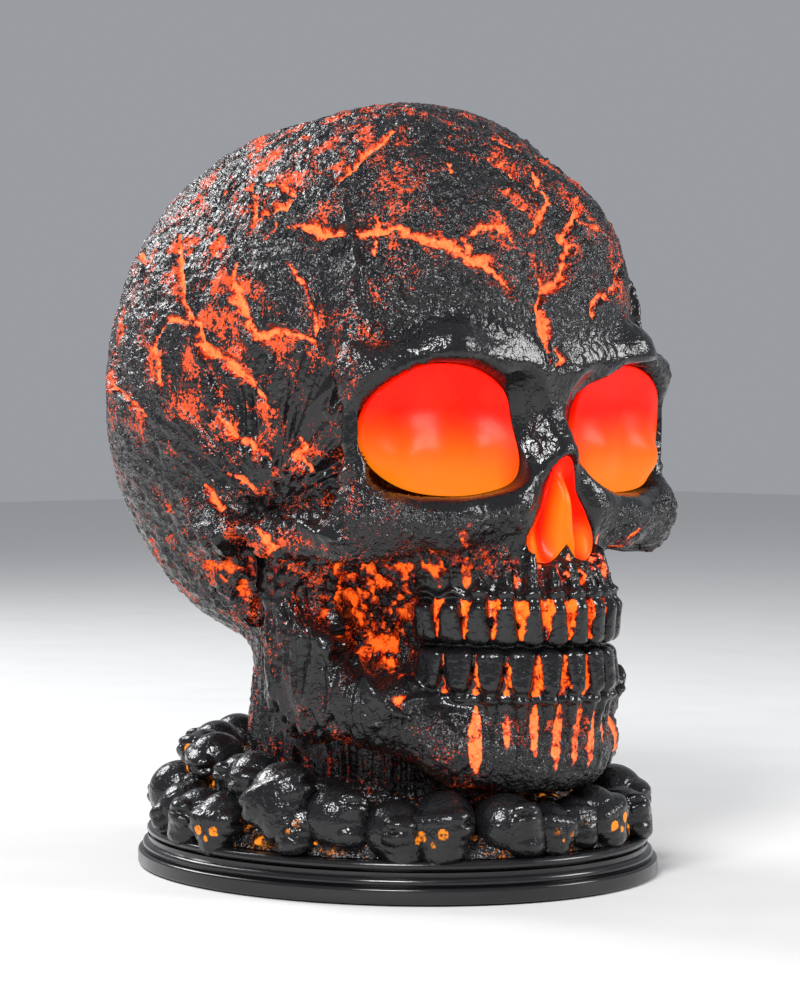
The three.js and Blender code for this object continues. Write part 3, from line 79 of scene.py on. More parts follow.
# Form of the head. Places are shares of half the width, half the length and the height; radii of
# rods and every blend are shares of half the width.
NECK_shares = (0.575, 0.53, 0.55)
ORBIT_PLACE_shares = (0.475, -0.705, 0.52)
NOSE_PLACE_shares = (0, -0.87, 0.333)
NOSE_MIDDLE_share = 0.42
RAY_TOP_share = 0.56
FIBRE_HUB_shares = (0, -0.2, 0.4)
BONE_shares = (
    ("blob", (0, 0.33, 0.565), (0.94, 0.63, 0.385), 0),
    ("blob", (0, 0.065, 0.61), (0.95, 0.72, 0.36), 0.25),
    ("blob", (0, -0.24, 0.63), (0.8, 0.6, 0.35), 0.3),
    ("blob", (0.26, -0.6, 0.735), (0.3, 0.17, 0.12), 0.22),
    ("rod", (0.7, -0.52, 0.72), (0.78, -0.6, 0.6), (0.04, 0.05), 0.14),
    ("blob", (0, -0.43, 0.42), (0.6, 0.37, 0.17), 0.2),
    ("blob", (0, -0.55, 0.35), (0.42, 0.34, 0.12), 0.14),
    ("rod", (0.12, -0.785, 0.6), (0.48, -0.765, 0.625), (0.09, 0.1), 0.09),
    ("rod", (0.48, -0.765, 0.625), (0.77, -0.655, 0.595), (0.1, 0.075), 0.09),
    ("rod", (0.8, -0.625, 0.6), (0.8, -0.615, 0.42), (0.055, 0.06), 0.08),
    ("rod", (0.76, -0.67, 0.402), (0.47, -0.745, 0.392), (0.1, 0.095), 0.1),
    ("rod", (0.47, -0.745, 0.392), (0.22, -0.8, 0.42), (0.095, 0.085), 0.1),
    ("rod", (0, -0.76, 0.6), (0, -0.765, 0.53), (0.09, 0.05), 0.08),
    ("rod", (0, -0.765, 0.53), (0, -0.855, 0.485), (0.05, 0.07), 0.08),
    ("rod", (0.05, -0.8, 0.5), (0.22, -0.79, 0.41), (0.07, 0.09), 0.08),
    ("blob", (0.69, -0.585, 0.375), (0.17, 0.145, 0.05), 0.1),
    ("rod", (0.79, -0.57, 0.365), (0.9, -0.3, 0.365), (0.085, 0.06), 0.08),
    ("rod", (0.9, -0.3, 0.365), (0.9, -0.05, 0.372), (0.06, 0.07), 0.08),
    ("rod", (0.74, 0.06, 0.37), (0.64, 0.02, 0.27), (0.17, 0.1), 0.14),
    ("blob", (0, -0.076, 0), NECK_shares, 0.16),
    ("blob", (0.68, -0.29, 0.25), (0.125, 0.2, 0.165), 0.1),
    ("rod", (0.62, -0.24, 0.15), (0.56, -0.49, 0.135), (0.14, 0.14), 0.12),
    ("rod", (0.56, -0.49, 0.135), (0.33, -0.68, 0.075), (0.14, 0.13), 0.12),
    ("rod", (0.33, -0.68, 0.075), (0.15, -0.775, 0.062), (0.13, 0.13), 0.1),
    ("rod", (0.15, -0.775, 0.062), (-0.01, -0.785, 0.062), (0.13, 0.13), 0.08),
    ("blob", (0, -0.82, 0.075), (0.22, 0.1, 0.06), 0.06),
    ("blob", (0, -0.52, 0.165), (0.4, 0.435, 0.13), 0.1),
    ("blob", (0, -0.5, 0.27), (0.415, 0.465, 0.085), 0.08),
)
HOLLOW_shares = (
    ((1.1, -0.27, 0.55), (0.2, 0.3, 0.15), 0.15),
    ((0.62, -0.56, 0.265), (0.17, 0.22, 0.095), 0.06),
    ((0.78, -0.47, 0.29), (0.15, 0.2, 0.05), 0.06),
    ((0.93, -0.185, 0.335), (0.13, 0.08, 0.036), 0.05),
    ((1.0, 0.16, 0.28), (0.16, 0.26, 0.07), 0.08),
    ((0.2, -0.875, 0.53), (0.13, 0.115, 0.07), 0.05),
)
ORBIT_OUTLINE_shares = (
    (-1, 0.07), (-0.82, 0.58), (-0.3, 0.95), (0.35, 0.93), (0.8, 0.58), (0.93, 0.05),
    (1, -0.55), (0.8, -0.86), (0.15, -1), (-0.5, -0.88), (-0.9, -0.47),
)
NOSE_OUTLINE_shares = (
    (0, 1), (0.25, 0.93), (0.42, 0.68), (0.75, 0.44), (1, 0.25),
    (0.95, 0.08), (0.62, 0), (0.3, 0.05), (0.1, 0.14), (0, 0.19),
)
# Bulges of the eye lens: place and reach as shares of the eye's half sizes, height in millimetres;
# the first axis points to the nose
EYE_BULGE_shares = (
    ((-0.48, -0.28), (0.36, 0.42), 3.3),
    ((-0.7, -0.58), (0.25, 0.32), 3.2),
    ((0.36, -0.3), (0.36, 0.42), 3.2),
    ((-0.08, 0.32), (0.4, 0.42), -1.2),
)
UPPER_ARCH_shares = ((0, -0.5, 0.253), 0.415, 0.465)
LOWER_ARCH_shares = ((0, -0.5, 0.187), 0.4, 0.455)
ARCH_SWEEP = math.radians(168)
UPPER_TEETH = 14
LOWER_TEETH = 12

# Cracks of the skin, as seen on the right side: half width of the groove in millimetres, then the
# places that it runs through, in the same shares
CRACK_shares = (
    (1.35, ((-0.77, -0.273, 0.805), (-0.75, -0.341, 0.795), (-0.74, -0.398, 0.783),
        (-0.69, -0.453, 0.791), (-0.66, -0.505, 0.785), (-0.62, -0.544, 0.781), (-0.58, -0.583, 0.783),
        (-0.53, -0.635, 0.771), (-0.48, -0.671, 0.764), (-0.43, -0.704, 0.758), (-0.38, -0.739, 0.74),
        (-0.32, -0.76, 0.738), (-0.28, -0.782, 0.723), (-0.23, -0.804, 0.701))),
    (0.9, ((-0.38, -0.735, 0.743), (-0.37, -0.723, 0.767), (-0.3, -0.731, 0.783),
        (-0.23, -0.749, 0.789), (-0.19, -0.777, 0.765))),
    (0.7, ((-0.6, -0.527, 0.805), (-0.62, -0.542, 0.781), (-0.65, -0.57, 0.75))),
    (1.3, ((-0.88, -0.093, 0.751), (-0.9, -0.105, 0.726), (-0.91, -0.158, 0.703),
        (-0.9, -0.193, 0.669), (-0.89, -0.234, 0.647), (-0.87, -0.301, 0.652), (-0.83, -0.399, 0.648),
        (-0.79, -0.463, 0.625))),
    (1.1, ((-0.82, -0.32, 0.748), (-0.81, -0.384, 0.72), (-0.81, -0.422, 0.68),
        (-0.81, -0.433, 0.648))),
    (1.5, ((-0.83, 0.22, 0.797), (-0.89, 0.166, 0.758), (-0.93, 0.107, 0.718), (-0.95, 0.055, 0.684),
        (-0.95, -0.001, 0.662), (-0.94, -0.025, 0.635), (-0.91, -0.099, 0.614), (-0.89, -0.162, 0.599),
        (-0.87, -0.21, 0.576), (-0.85, -0.254, 0.549))),
    (1.0, ((-0.96, 0.034, 0.668), (-0.96, 0.122, 0.679), (-0.97, 0.168, 0.664), (-0.98, 0.189, 0.637),
        (-0.99, 0.173, 0.603), (-0.98, 0.174, 0.571))),
    (1.0, ((-0.89, 0.562, 0.594), (-0.96, 0.409, 0.574), (-0.98, 0.294, 0.555), (-0.98, 0.236, 0.543))),
    (0.8, ((-0.89, 0.472, 0.692), (-0.92, 0.447, 0.661), (-0.92, 0.469, 0.639), (-0.9, 0.528, 0.617))),
    (1.2, ((-0.78, 0.488, 0.781), (-0.86, 0.386, 0.754), (-0.9, 0.342, 0.73))),
    (0.8, ((-0.69, -0.011, 0.872), (-0.74, -0.065, 0.845), (-0.79, -0.114, 0.821),
        (-0.82, -0.117, 0.796))),
    (0.9, ((-0.71, -0.073, 0.861), (-0.69, -0.145, 0.868), (-0.71, -0.249, 0.846),
        (-0.74, -0.246, 0.83), (-0.77, -0.153, 0.823), (-0.81, -0.113, 0.805))),
    (0.7, ((-0.76, 0.101, 0.843), (-0.69, 0.075, 0.871))),
    (0.7, ((-0.82, -0.199, 0.786), (-0.77, -0.228, 0.813))),
    (0.7, ((-0.89, 0.015, 0.759), (-0.83, -0.004, 0.801))),
    (1.2, ((-0.63, -0.362, 0.858), (-0.56, -0.38, 0.883), (-0.47, -0.388, 0.912),
        (-0.33, -0.376, 0.947))),
    (1.1, ((-0.17, -0.593, 0.905), (-0.1, -0.63, 0.894), (-0.07, -0.654, 0.883), (-0.03, -0.693, 0.86),
        (0, -0.733, 0.83), (0.01, -0.746, 0.819), (-0.06, -0.769, 0.794), (-0.09, -0.779, 0.78))),
    (0.9, ((0.1, -0.656, 0.879), (0.05, -0.699, 0.856), (0.07, -0.726, 0.834), (0.01, -0.746, 0.819))),
    (0.8, ((-0.12, -0.699, 0.85), (-0.14, -0.725, 0.828), (-0.09, -0.75, 0.812),
        (-0.08, -0.764, 0.799))),
    (1.45, ((0.26, -0.678, 0.844), (0.15, -0.746, 0.808), (0.08, -0.778, 0.783), (0.09, -0.793, 0.763),
        (0.02, -0.813, 0.735), (-0.07, -0.823, 0.71), (-0.09, -0.83, 0.684), (-0.07, -0.838, 0.66),
        (-0.07, -0.846, 0.639), (-0.06, -0.862, 0.613))),
    (1.1, ((-0.1, -0.802, 0.745), (-0.08, -0.817, 0.721), (-0.07, -0.823, 0.71))),
    (0.9, ((0.15, -0.749, 0.805), (0.24, -0.738, 0.798), (0.3, -0.732, 0.786))),
    (0.8, ((-0.01, -0.852, 0.628), (0.02, -0.861, 0.613), (-0.03, -0.864, 0.599))),
    (1.1, ((0.44, -0.705, 0.75), (0.36, -0.759, 0.718), (0.21, -0.81, 0.695), (0.19, -0.819, 0.683),
        (0.21, -0.816, 0.67))),
    (0.8, ((0, -0.546, 0.933), (0.08, -0.576, 0.919), (0.13, -0.587, 0.911))),
    (0.7, ((-0.27, -0.533, 0.915), (-0.22, -0.563, 0.911))),
    (0.6, ((-0.29, -0.595, 0.885), (-0.31, -0.631, 0.86))),
    (1.2, ((-0.91, -0.047, 0.541), (-0.88, -0.122, 0.508), (-0.86, -0.163, 0.498),
        (-0.84, -0.22, 0.483), (-0.81, -0.254, 0.454))),
    (1.0, ((-0.87, -0.056, 0.457), (-0.85, -0.112, 0.447), (-0.82, -0.162, 0.435))),
    (1.1, ((-0.89, 0.054, 0.434), (-0.88, -0.008, 0.417), (-0.88, -0.064, 0.402))),
    (0.9, ((-0.81, -0.351, 0.513), (-0.79, -0.383, 0.494), (-0.8, -0.332, 0.487),
        (-0.75, -0.386, 0.467))),
    (1.1, ((-0.96, -0.299, 0.382), (-0.95, -0.358, 0.357), (-0.79, -0.281, 0.323))),
)

# Stray cracks where the photo shows nothing: half width, start and length in steps
STRAY_shares = (
    (1.3, (0.5, 0.9, 0.75), 9), (1.2, (-0.45, 0.95, 0.62), 8), (1.1, (0.1, 0.98, 0.5), 9),
    (1.0, (0.75, 0.75, 0.5), 8), (1.2, (-0.1, 0.8, 0.85), 9), (0.9, (0.4, 0.5, 0.95), 8),
    (1.0, (-0.35, 0.2, 0.99), 8), (1.1, (0.2, -0.1, 1.0), 9), (0.9, (-0.2, 0.95, 0.36), 7),
    (1.0, (0.35, -0.6, 0.9), 6), (0.8, (-0.72, 0.65, 0.7), 6), (0.9, (-0.55, 0.85, 0.45), 7),
)

# Raised smooth ridges of the skin, as seen on the right side: half width in millimetres, then their
# places
RIDGE_shares = (
    (1.2, ((-0.64, -0.418, 0.838), (-0.67, -0.478, 0.792), (-0.71, -0.543, 0.748),
        (-0.73, -0.583, 0.707), (-0.72, -0.606, 0.672), (-0.73, -0.619, 0.644))),
    (1.9, ((-0.59, -0.338, 0.262), (-0.5, -0.3, 0.231), (-0.5, -0.34, 0.199), (-0.61, -0.493, 0.174),
        (-0.66, -0.59, 0.151), (-0.62, -0.619, 0.133), (-0.56, -0.648, 0.123))),
    (1.1, ((-0.93, -0.12, 0.375), (-0.85, -0.1, 0.35), (-0.75, -0.08, 0.32), (-0.66, -0.08, 0.29))),
    (1.5, ((-0.87, -0.635, 0.37), (-0.89, -0.543, 0.377), (-0.89, -0.439, 0.385),
        (-0.91, -0.313, 0.392))),
)

# Embers of the hollow cheek and the upper jaw: half width in millimetres, then their places
EMBER_shares = (
    (1.6, ((-0.6, -0.385, 0.327), (-0.51, -0.315, 0.299), (-0.47, -0.299, 0.272),
        (-0.45, -0.32, 0.245), (-0.43, -0.36, 0.226), (-0.41, -0.401, 0.214))),
    (3.0, ((-0.43, -0.37, 0.222), (-0.41, -0.401, 0.214), (-0.39, -0.437, 0.216))),
    (1.5, ((-0.42, -0.399, 0.2), (-0.51, -0.52, 0.186), (-0.51, -0.587, 0.173), (-0.45, -0.601, 0.165),
        (-0.4, -0.631, 0.166))),
    (1.8, ((-0.64, -0.606, 0.144), (-0.59, -0.622, 0.146), (-0.53, -0.622, 0.157))),
    (1.2, ((-0.48, -0.551, 0.334), (-0.45, -0.542, 0.309), (-0.42, -0.553, 0.284),
        (-0.42, -0.504, 0.275))),
    (1.1, ((-0.46, -0.631, 0.339), (-0.42, -0.631, 0.314), (-0.41, -0.611, 0.288))),
    (1.1, ((-0.52, -0.825, 0.384), (-0.48, -0.828, 0.373), (-0.4, -0.778, 0.355))),
    (1.2, ((-0.49, -0.384, 0.307), (-0.45, -0.383, 0.278), (-0.42, -0.407, 0.25))),
)

# Tooth rows: arch, side, teeth, then in millimetres the gum line, its scallop, where the gaps between
# the roots start and how long the longest is
TOOTH_ROW_shares = (
    (UPPER_ARCH_shares, 1, UPPER_TEETH, 8.0, 1.5, 9.2, 15),
    (LOWER_ARCH_shares, -1, LOWER_TEETH, 8.1, 0.3, 9.3, 20),
)

# Regions of the skin: middle, radii, then how much each adds to flecks, smoothness, streaks and embers
REGION_shares = (
    ((0.45, -0.85, 0.62), (0.45, 0.16, 0.06), -0.9, 1, 0, 0),
    ((0.12, -0.9, 0.5), (0.3, 0.14, 0.12), -1, 1, 0, 0),
    ((0.5, -0.72, 0.39), (0.4, 0.2, 0.05), -0.5, 0.1, 0, 0),
    ((0.35, -0.8, 0.7), (0.4, 0.25, 0.07), -0.3, 0.2, 0, 0),
    ((0.78, -0.35, 0.73), (0.14, 0.16, 0.07), -0.5, 0.2, 0, 0),
    ((0.9, 0.05, 0.62), (0.35, 0.5, 0.13), 0.1, 0, 0.3, 0),
    ((0.5, 0.1, 0.97), (0.45, 0.5, 0.12), 0.35, 0, 0.1, 0),
    ((0.72, -0.55, 0.5), (0.22, 0.16, 0.2), 0, 0, 1, 0),
    ((0.9, -0.2, 0.5), (0.3, 0.35, 0.12), 0, 0, 0.9, 0),
    ((0.85, 0.1, 0.29), (0.3, 0.3, 0.09), 0.3, 0, 0, 1.1),
    ((0.6, 0.6, 0.3), (0.5, 0.4, 0.12), 0.1, 0, 0.5, 0),
    ((0.7, -0.2, 0.17), (0.3, 0.3, 0.17), -0.1, 0, 1.3, 0),
    ((0.5, -0.42, 0.27), (0.2, 0.26, 0.1), 0.3, 0, 0, 1.6),
    ((0.9, -0.25, 0.33), (0.2, 0.2, 0.05), 0.2, 0, 0.4, 0.5),
    ((0.34, -0.74, 0.335), (0.2, 0.16, 0.03), 0.2, 0, 0, 0.75),
    ((0.15, -0.85, 0.05), (0.4, 0.2, 0.07), -0.3, 0.1, 0, 0),
    ((0.35, -0.1, 0.05), (0.5, 0.7, 0.1), -0.1, 0, 0.5, 0),
)

# Small skulls of the pile: turn round the plinth, share of the way out, height and size in shares
# of the common size, and the way that each faces
SMALL_SKULL_shares = (
    (149, 0.83, 1.35, 0.95, -45), (152, 0.72, 2.6, 0.85, 150), (-178, 0.74, 2.2, 0.9, -120),
    (-163, 0.83, 1.75, 1.15, -150), (-148, 0.85, 1.25, 0.95, -45), (-123, 0.86, 1.05, 1, -150),
    (-106, 0.86, 1, 0.95, -40), (-76, 0.86, 1, 0.9, -80), (-45, 0.84, 1.15, 1, -20),
    (-8, 0.83, 1.2, 1.05, 10), (32, 0.83, 1.2, 1, 50), (68, 0.85, 1.25, 1.1, 75),
    (104, 0.84, 1.2, 1, 130), (1, 0.87, 0.78, 0.79, -61), (11, 0.86, 0.66, 0.73, 81),
    (49, 0.84, 0.79, 0.78, 102), (58, 0.87, 0.87, 0.77, 113), (84, 0.86, 0.7, 0.79, 127),
    (95, 0.85, 0.82, 0.82, 137), (120, 0.85, 0.65, 0.93, 62), (134, 0.85, 0.89, 0.81, -165),
    (157, 0.86, 0.71, 0.87, 102), (169, 0.87, 0.74, 0.9, 126), (179, 0.87, 0.75, 0.88, -165),
    (-158, 0.87, 0.86, 0.81, -150), (-134, 0.86, 0.81, 0.94, -75), (-94, 0.85, 0.78, 0.78, -96),
    (-84, 0.84, 0.87, 0.78, -91), (-58, 0.88, 0.77, 0.82, -35), (-36, 0.87, 0.78, 0.88, -8),
    (-26, 0.84, 0.69, 0.77, -68), (7, 0.72, 2.31, 0.82, 33), (26, 0.75, 2.49, 0.81, 55),
    (40, 0.74, 2.55, 0.77, 92), (57, 0.74, 2.69, 0.84, 32), (74, 0.71, 2.82, 0.73, 78),
    (90, 0.74, 2.78, 0.72, 98), (106, 0.73, 2.66, 0.89, 110), (123, 0.73, 2.65, 0.86, 88),
    (139, 0.74, 2.7, 0.76, -152), (172, 0.72, 2.21, 0.73, 104), (-155, 0.72, 1.69, 0.74, 162),
    (-26, 0.74, 1.59, 0.78, -69), (-9, 0.71, 1.95, 0.94, -28),
)
SMALL_BLOB_shares = (
    ((0, 0.25, 0.2), (0.9, 1.08, 0.98), 0),
    ((0, -0.45, -0.3), (0.58, 0.55, 0.62), 0.3),
    ((0.5, -0.66, -0.26), (0.2, 0.22, 0.13), 0.14),
    ((0.38, -0.84, 0.33), (0.34, 0.16, 0.1), 0.08),
    ((0, -0.84, -0.12), (0.1, 0.18, 0.22), 0.1),
    ((0, -0.74, -0.62), (0.36, 0.3, 0.2), 0.1),
    ((0, -0.7, -0.92), (0.36, 0.32, 0.17), 0.1),
)
SMALL_HOLLOW_shares = (
    ((0.39, -1.0, -0.02), (0.3, 0.5, 0.29), 0.05),
    ((0, -1.12, -0.36), (0.15, 0.36, 0.2), 0.04),
    ((0.86, -0.45, 0.02), (0.2, 0.36, 0.3), 0.12),
    ((0, -1.05, -0.77), (0.4, 0.13, 0.045), 0.04),
)


def length_property(name, description, default):
    return FloatProperty(name=name, description=description, default=default, unit="LENGTH")


def colour_property(name, description, default):
    return FloatVectorProperty(
        name=name, description=description, default=default, subtype="COLOR", size=3
    )


class SkullLampSizes(bpy.types.PropertyGroup):
    """Sizes of the lamp and of the detail on its skin"""

    head_width: length_property("Head width", "Over the temples", 0.144)
    head_length: length_property("Head length", "Brow to back", 0.184)
    head_height: length_property("Head height", "Chin to crown", 0.204)
    chin_height: length_property("Chin height", "Chin above the table", 0.026)
    head_set_back: length_property("Head set back", "Of the head's middle", 0.0019)
    plinth_width: length_property("Plinth width", "Over the band", 0.148)
    plinth_length: length_property("Plinth length", "Over the band", 0.168)
    plinth_top: length_property("Plinth top", "Height of the deck", 0.012)
    plinth_middle: length_property("Plinth middle", "Place of the plinth's middle along Y", -0.0051)
    orbit_half_width: length_property("Eye half width", "Of the eye opening", 0.0248)
    orbit_half_height: length_property("Eye half height", "Of the eye opening", 0.019)
    nose_half_width: length_property("Nose half width", "Of the nose opening", 0.0125)
    nose_height: length_property("Nose height", "Of the nose opening", 0.031)
    crack_depth: length_property("Crack depth", "Of the main cracks", 0.0014)
    leather_depth: length_property("Skin bumps", "Height of the leathery bumps", 0.0006)
    small_skull: length_property("Small skull", "Half width of a small skull", 0.0076)
    columns: IntProperty(name="Columns", description="Grid of the skin round the head", default=720)
    rows: IntProperty(name="Rows", description="Grid of the skin from neck to crown", default=460)


class SkullLampColours(bpy.types.PropertyGroup):
    """Colours of the finishes, as linear light"""

    paint: colour_property("Paint", "Black paint of the skin", (0.007, 0.007, 0.008))
    ember_deep: colour_property("Ember, edge", "Glow at a crack's edge", (0.42, 0.012, 0.003))
    ember_bright: colour_property("Ember, middle", "Glow in a crack's middle", (1.0, 0.17, 0.045))
    ember_warm: colour_property("Ember, mouth", "Glow in the mouth and cheek", (1.0, 0.15, 0.014))
    amber: colour_property("Amber", "Glow between the small skulls", (0.62, 0.17, 0.008))
    # Painted light on the lenses: dim red where the LEDs' glow is weak, bright orange where it is strong
    lens_dim_glow: colour_property("Lens, upper", "Upper half of the lenses", (1.0, 0.006, 0.0))
    lens_bright_glow: colour_property("Lens, lower", "Lower half of the lenses", (1.0, 0.26, 0.008))
    plinth: colour_property("Plinth", "Gloss black of the plinth", (0.008, 0.008, 0.009))
    plate: colour_property("Plate", "Bottom plate and door", (0.02, 0.02, 0.021))
    floor: colour_property("Floor", "The stage", (0.8, 0.8, 0.79))


def millimetres(length):
    return length / MM


def sizes():
    return bpy.context.scene.skull_lamp_sizes


def colours():
    return bpy.context.scene.skull_lamp_colours


# Noise, fields and grids, all in millimetres
def turns(count):
    """Turns of a whole circle, evenly spaced"""
    return np.arange(count) / count * 2 * np.pi


def folded(points):
    """Points with those of the right half moved to the left half"""
    return np.concatenate([np.abs(points[:, :1]), points[:, 1:]], axis=1)


def hashed(cell, seed):
    """One steady random number from 0 to 1 for each cell of a lattice"""
    n = sum(cell[:, k] * factor for k, factor in enumerate(HASH_FACTORS)) + seed * HASH_MIX
    n = (n ^ (n >> 13)) & 0xFFFFFFFF
    n = (n * HASH_MIX) & 0xFFFFFFFF
    return ((n ^ (n >> 16)) & 0xFFFF).astype(np.float32) / 0xFFFF


def noise(points, feature, seed):
    """Smooth noise from -1 to 1; feature is its size, one number or one for each axis"""
    place = points / np.asarray(feature, np.float32)
    low = np.floor(place).astype(np.int64)
    part = (place - low).astype(np.float32)
    part = part * part * (3 - 2 * part)
    total = np.zeros(len(points), np.float32)
    for corner in range(8):
        step = np.array([corner & 1, corner >> 1 & 1, corner >> 2 & 1])
        weight = np.prod(np.where(step == 1, part, 1 - part), axis=1)
        total += weight * hashed(low + step, seed)
    return total * 2 - 1


def smooth_least(a, b, blend):
    """The lesser of two fields, with a round join of that width"""
    if blend == 0:
        return np.minimum(a, b)
    share = np.clip(0.5 + 0.5 * (b - a) / blend, 0, 1)
    return b + (a - b) * share - blend * share * (1 - share)


def cut(field, own, blend):
    """A field with another form cut away"""
    return -smooth_least(-field, own, blend)


def ramp(value, low, high):
    """A smooth step from 0 to 1"""
    share = np.clip((value - low) / (high - low), 0, 1)
    return share * share * (3 - 2 * share)


def blob_distance(points, middle, radii):
    """Distance to an ellipsoid, near enough"""
    scaled = (points - middle) / radii
    reach = np.sqrt((scaled * scaled).sum(axis=1)) + 1e-9
    slope = scaled / radii
    return reach * (reach - 1) / (np.sqrt((slope * slope).sum(axis=1)) + 1e-9)


def rod_distance(points, start, end, radii):
    """Distance to a rod with round ends, whose radius changes along it"""
    along = end - start
    share = np.clip(((points - start) @ along) / (along @ along), 0, 1)
    gap = np.linalg.norm(points - start - share[:, None] * along, axis=1)
    return gap - (radii[0] + (radii[1] - radii[0]) * share)


def closed_curve(points, steps):
    """A smooth closed line through points"""
    ring = np.array(points, float)
    share = (np.arange(steps) / steps)[:, None]
    pieces = []
    for i in range(len(ring)):
        a, b, c, d = (ring[(i + k) % len(ring)] for k in (-1, 0, 1, 2))
        bend = (2 * a - 5 * b + 4 * c - d) * share**2 + (3 * b - a - 3 * c + d) * share**3
        pieces.append(0.5 * (2 * b + (c - a) * share + bend))
    return np.concatenate(pieces)


def polar(curve):
    """A closed line as reach by turn, for looking up"""
    turn = np.arctan2(curve[:, 1], curve[:, 0])
    order = np.argsort(turn)
    reach = np.hypot(curve[:, 0], curve[:, 1])[order]
    turn = turn[order]
    return np.concatenate([turn - 2 * np.pi, turn, turn + 2 * np.pi]), np.tile(reach, 3)


def edge_at(turn, outline):
    """How far out an opening's edge lies at a turn"""
    return np.interp((turn + np.pi) % (2 * np.pi) - np.pi, *outline)


def past_edge(u, v, outline):
    """How far outside an opening's edge a place lies"""
    return np.hypot(u, v) - np.interp(np.arctan2(v, u), *outline)


def blurred(grid, reach, times=2):
    """A grid blurred by a box along rows, which stop at the ends, and columns, which go round"""
    for _ in range(times):
        for axis in (0, 1):
            pad = [(0, 0)] * grid.ndim
            pad[axis] = (reach + 1, reach)
            padded = np.pad(grid, pad, mode="edge" if axis == 0 else "wrap")
            total = np.cumsum(padded, axis=axis, dtype=np.float64)
            count = grid.shape[axis]
            high = np.take(total, range(2 * reach + 1, 2 * reach + 1 + count), axis=axis)
            low = np.take(total, range(count), axis=axis)
            grid = ((high - low) / (2 * reach + 1)).astype(np.float32)
    return grid


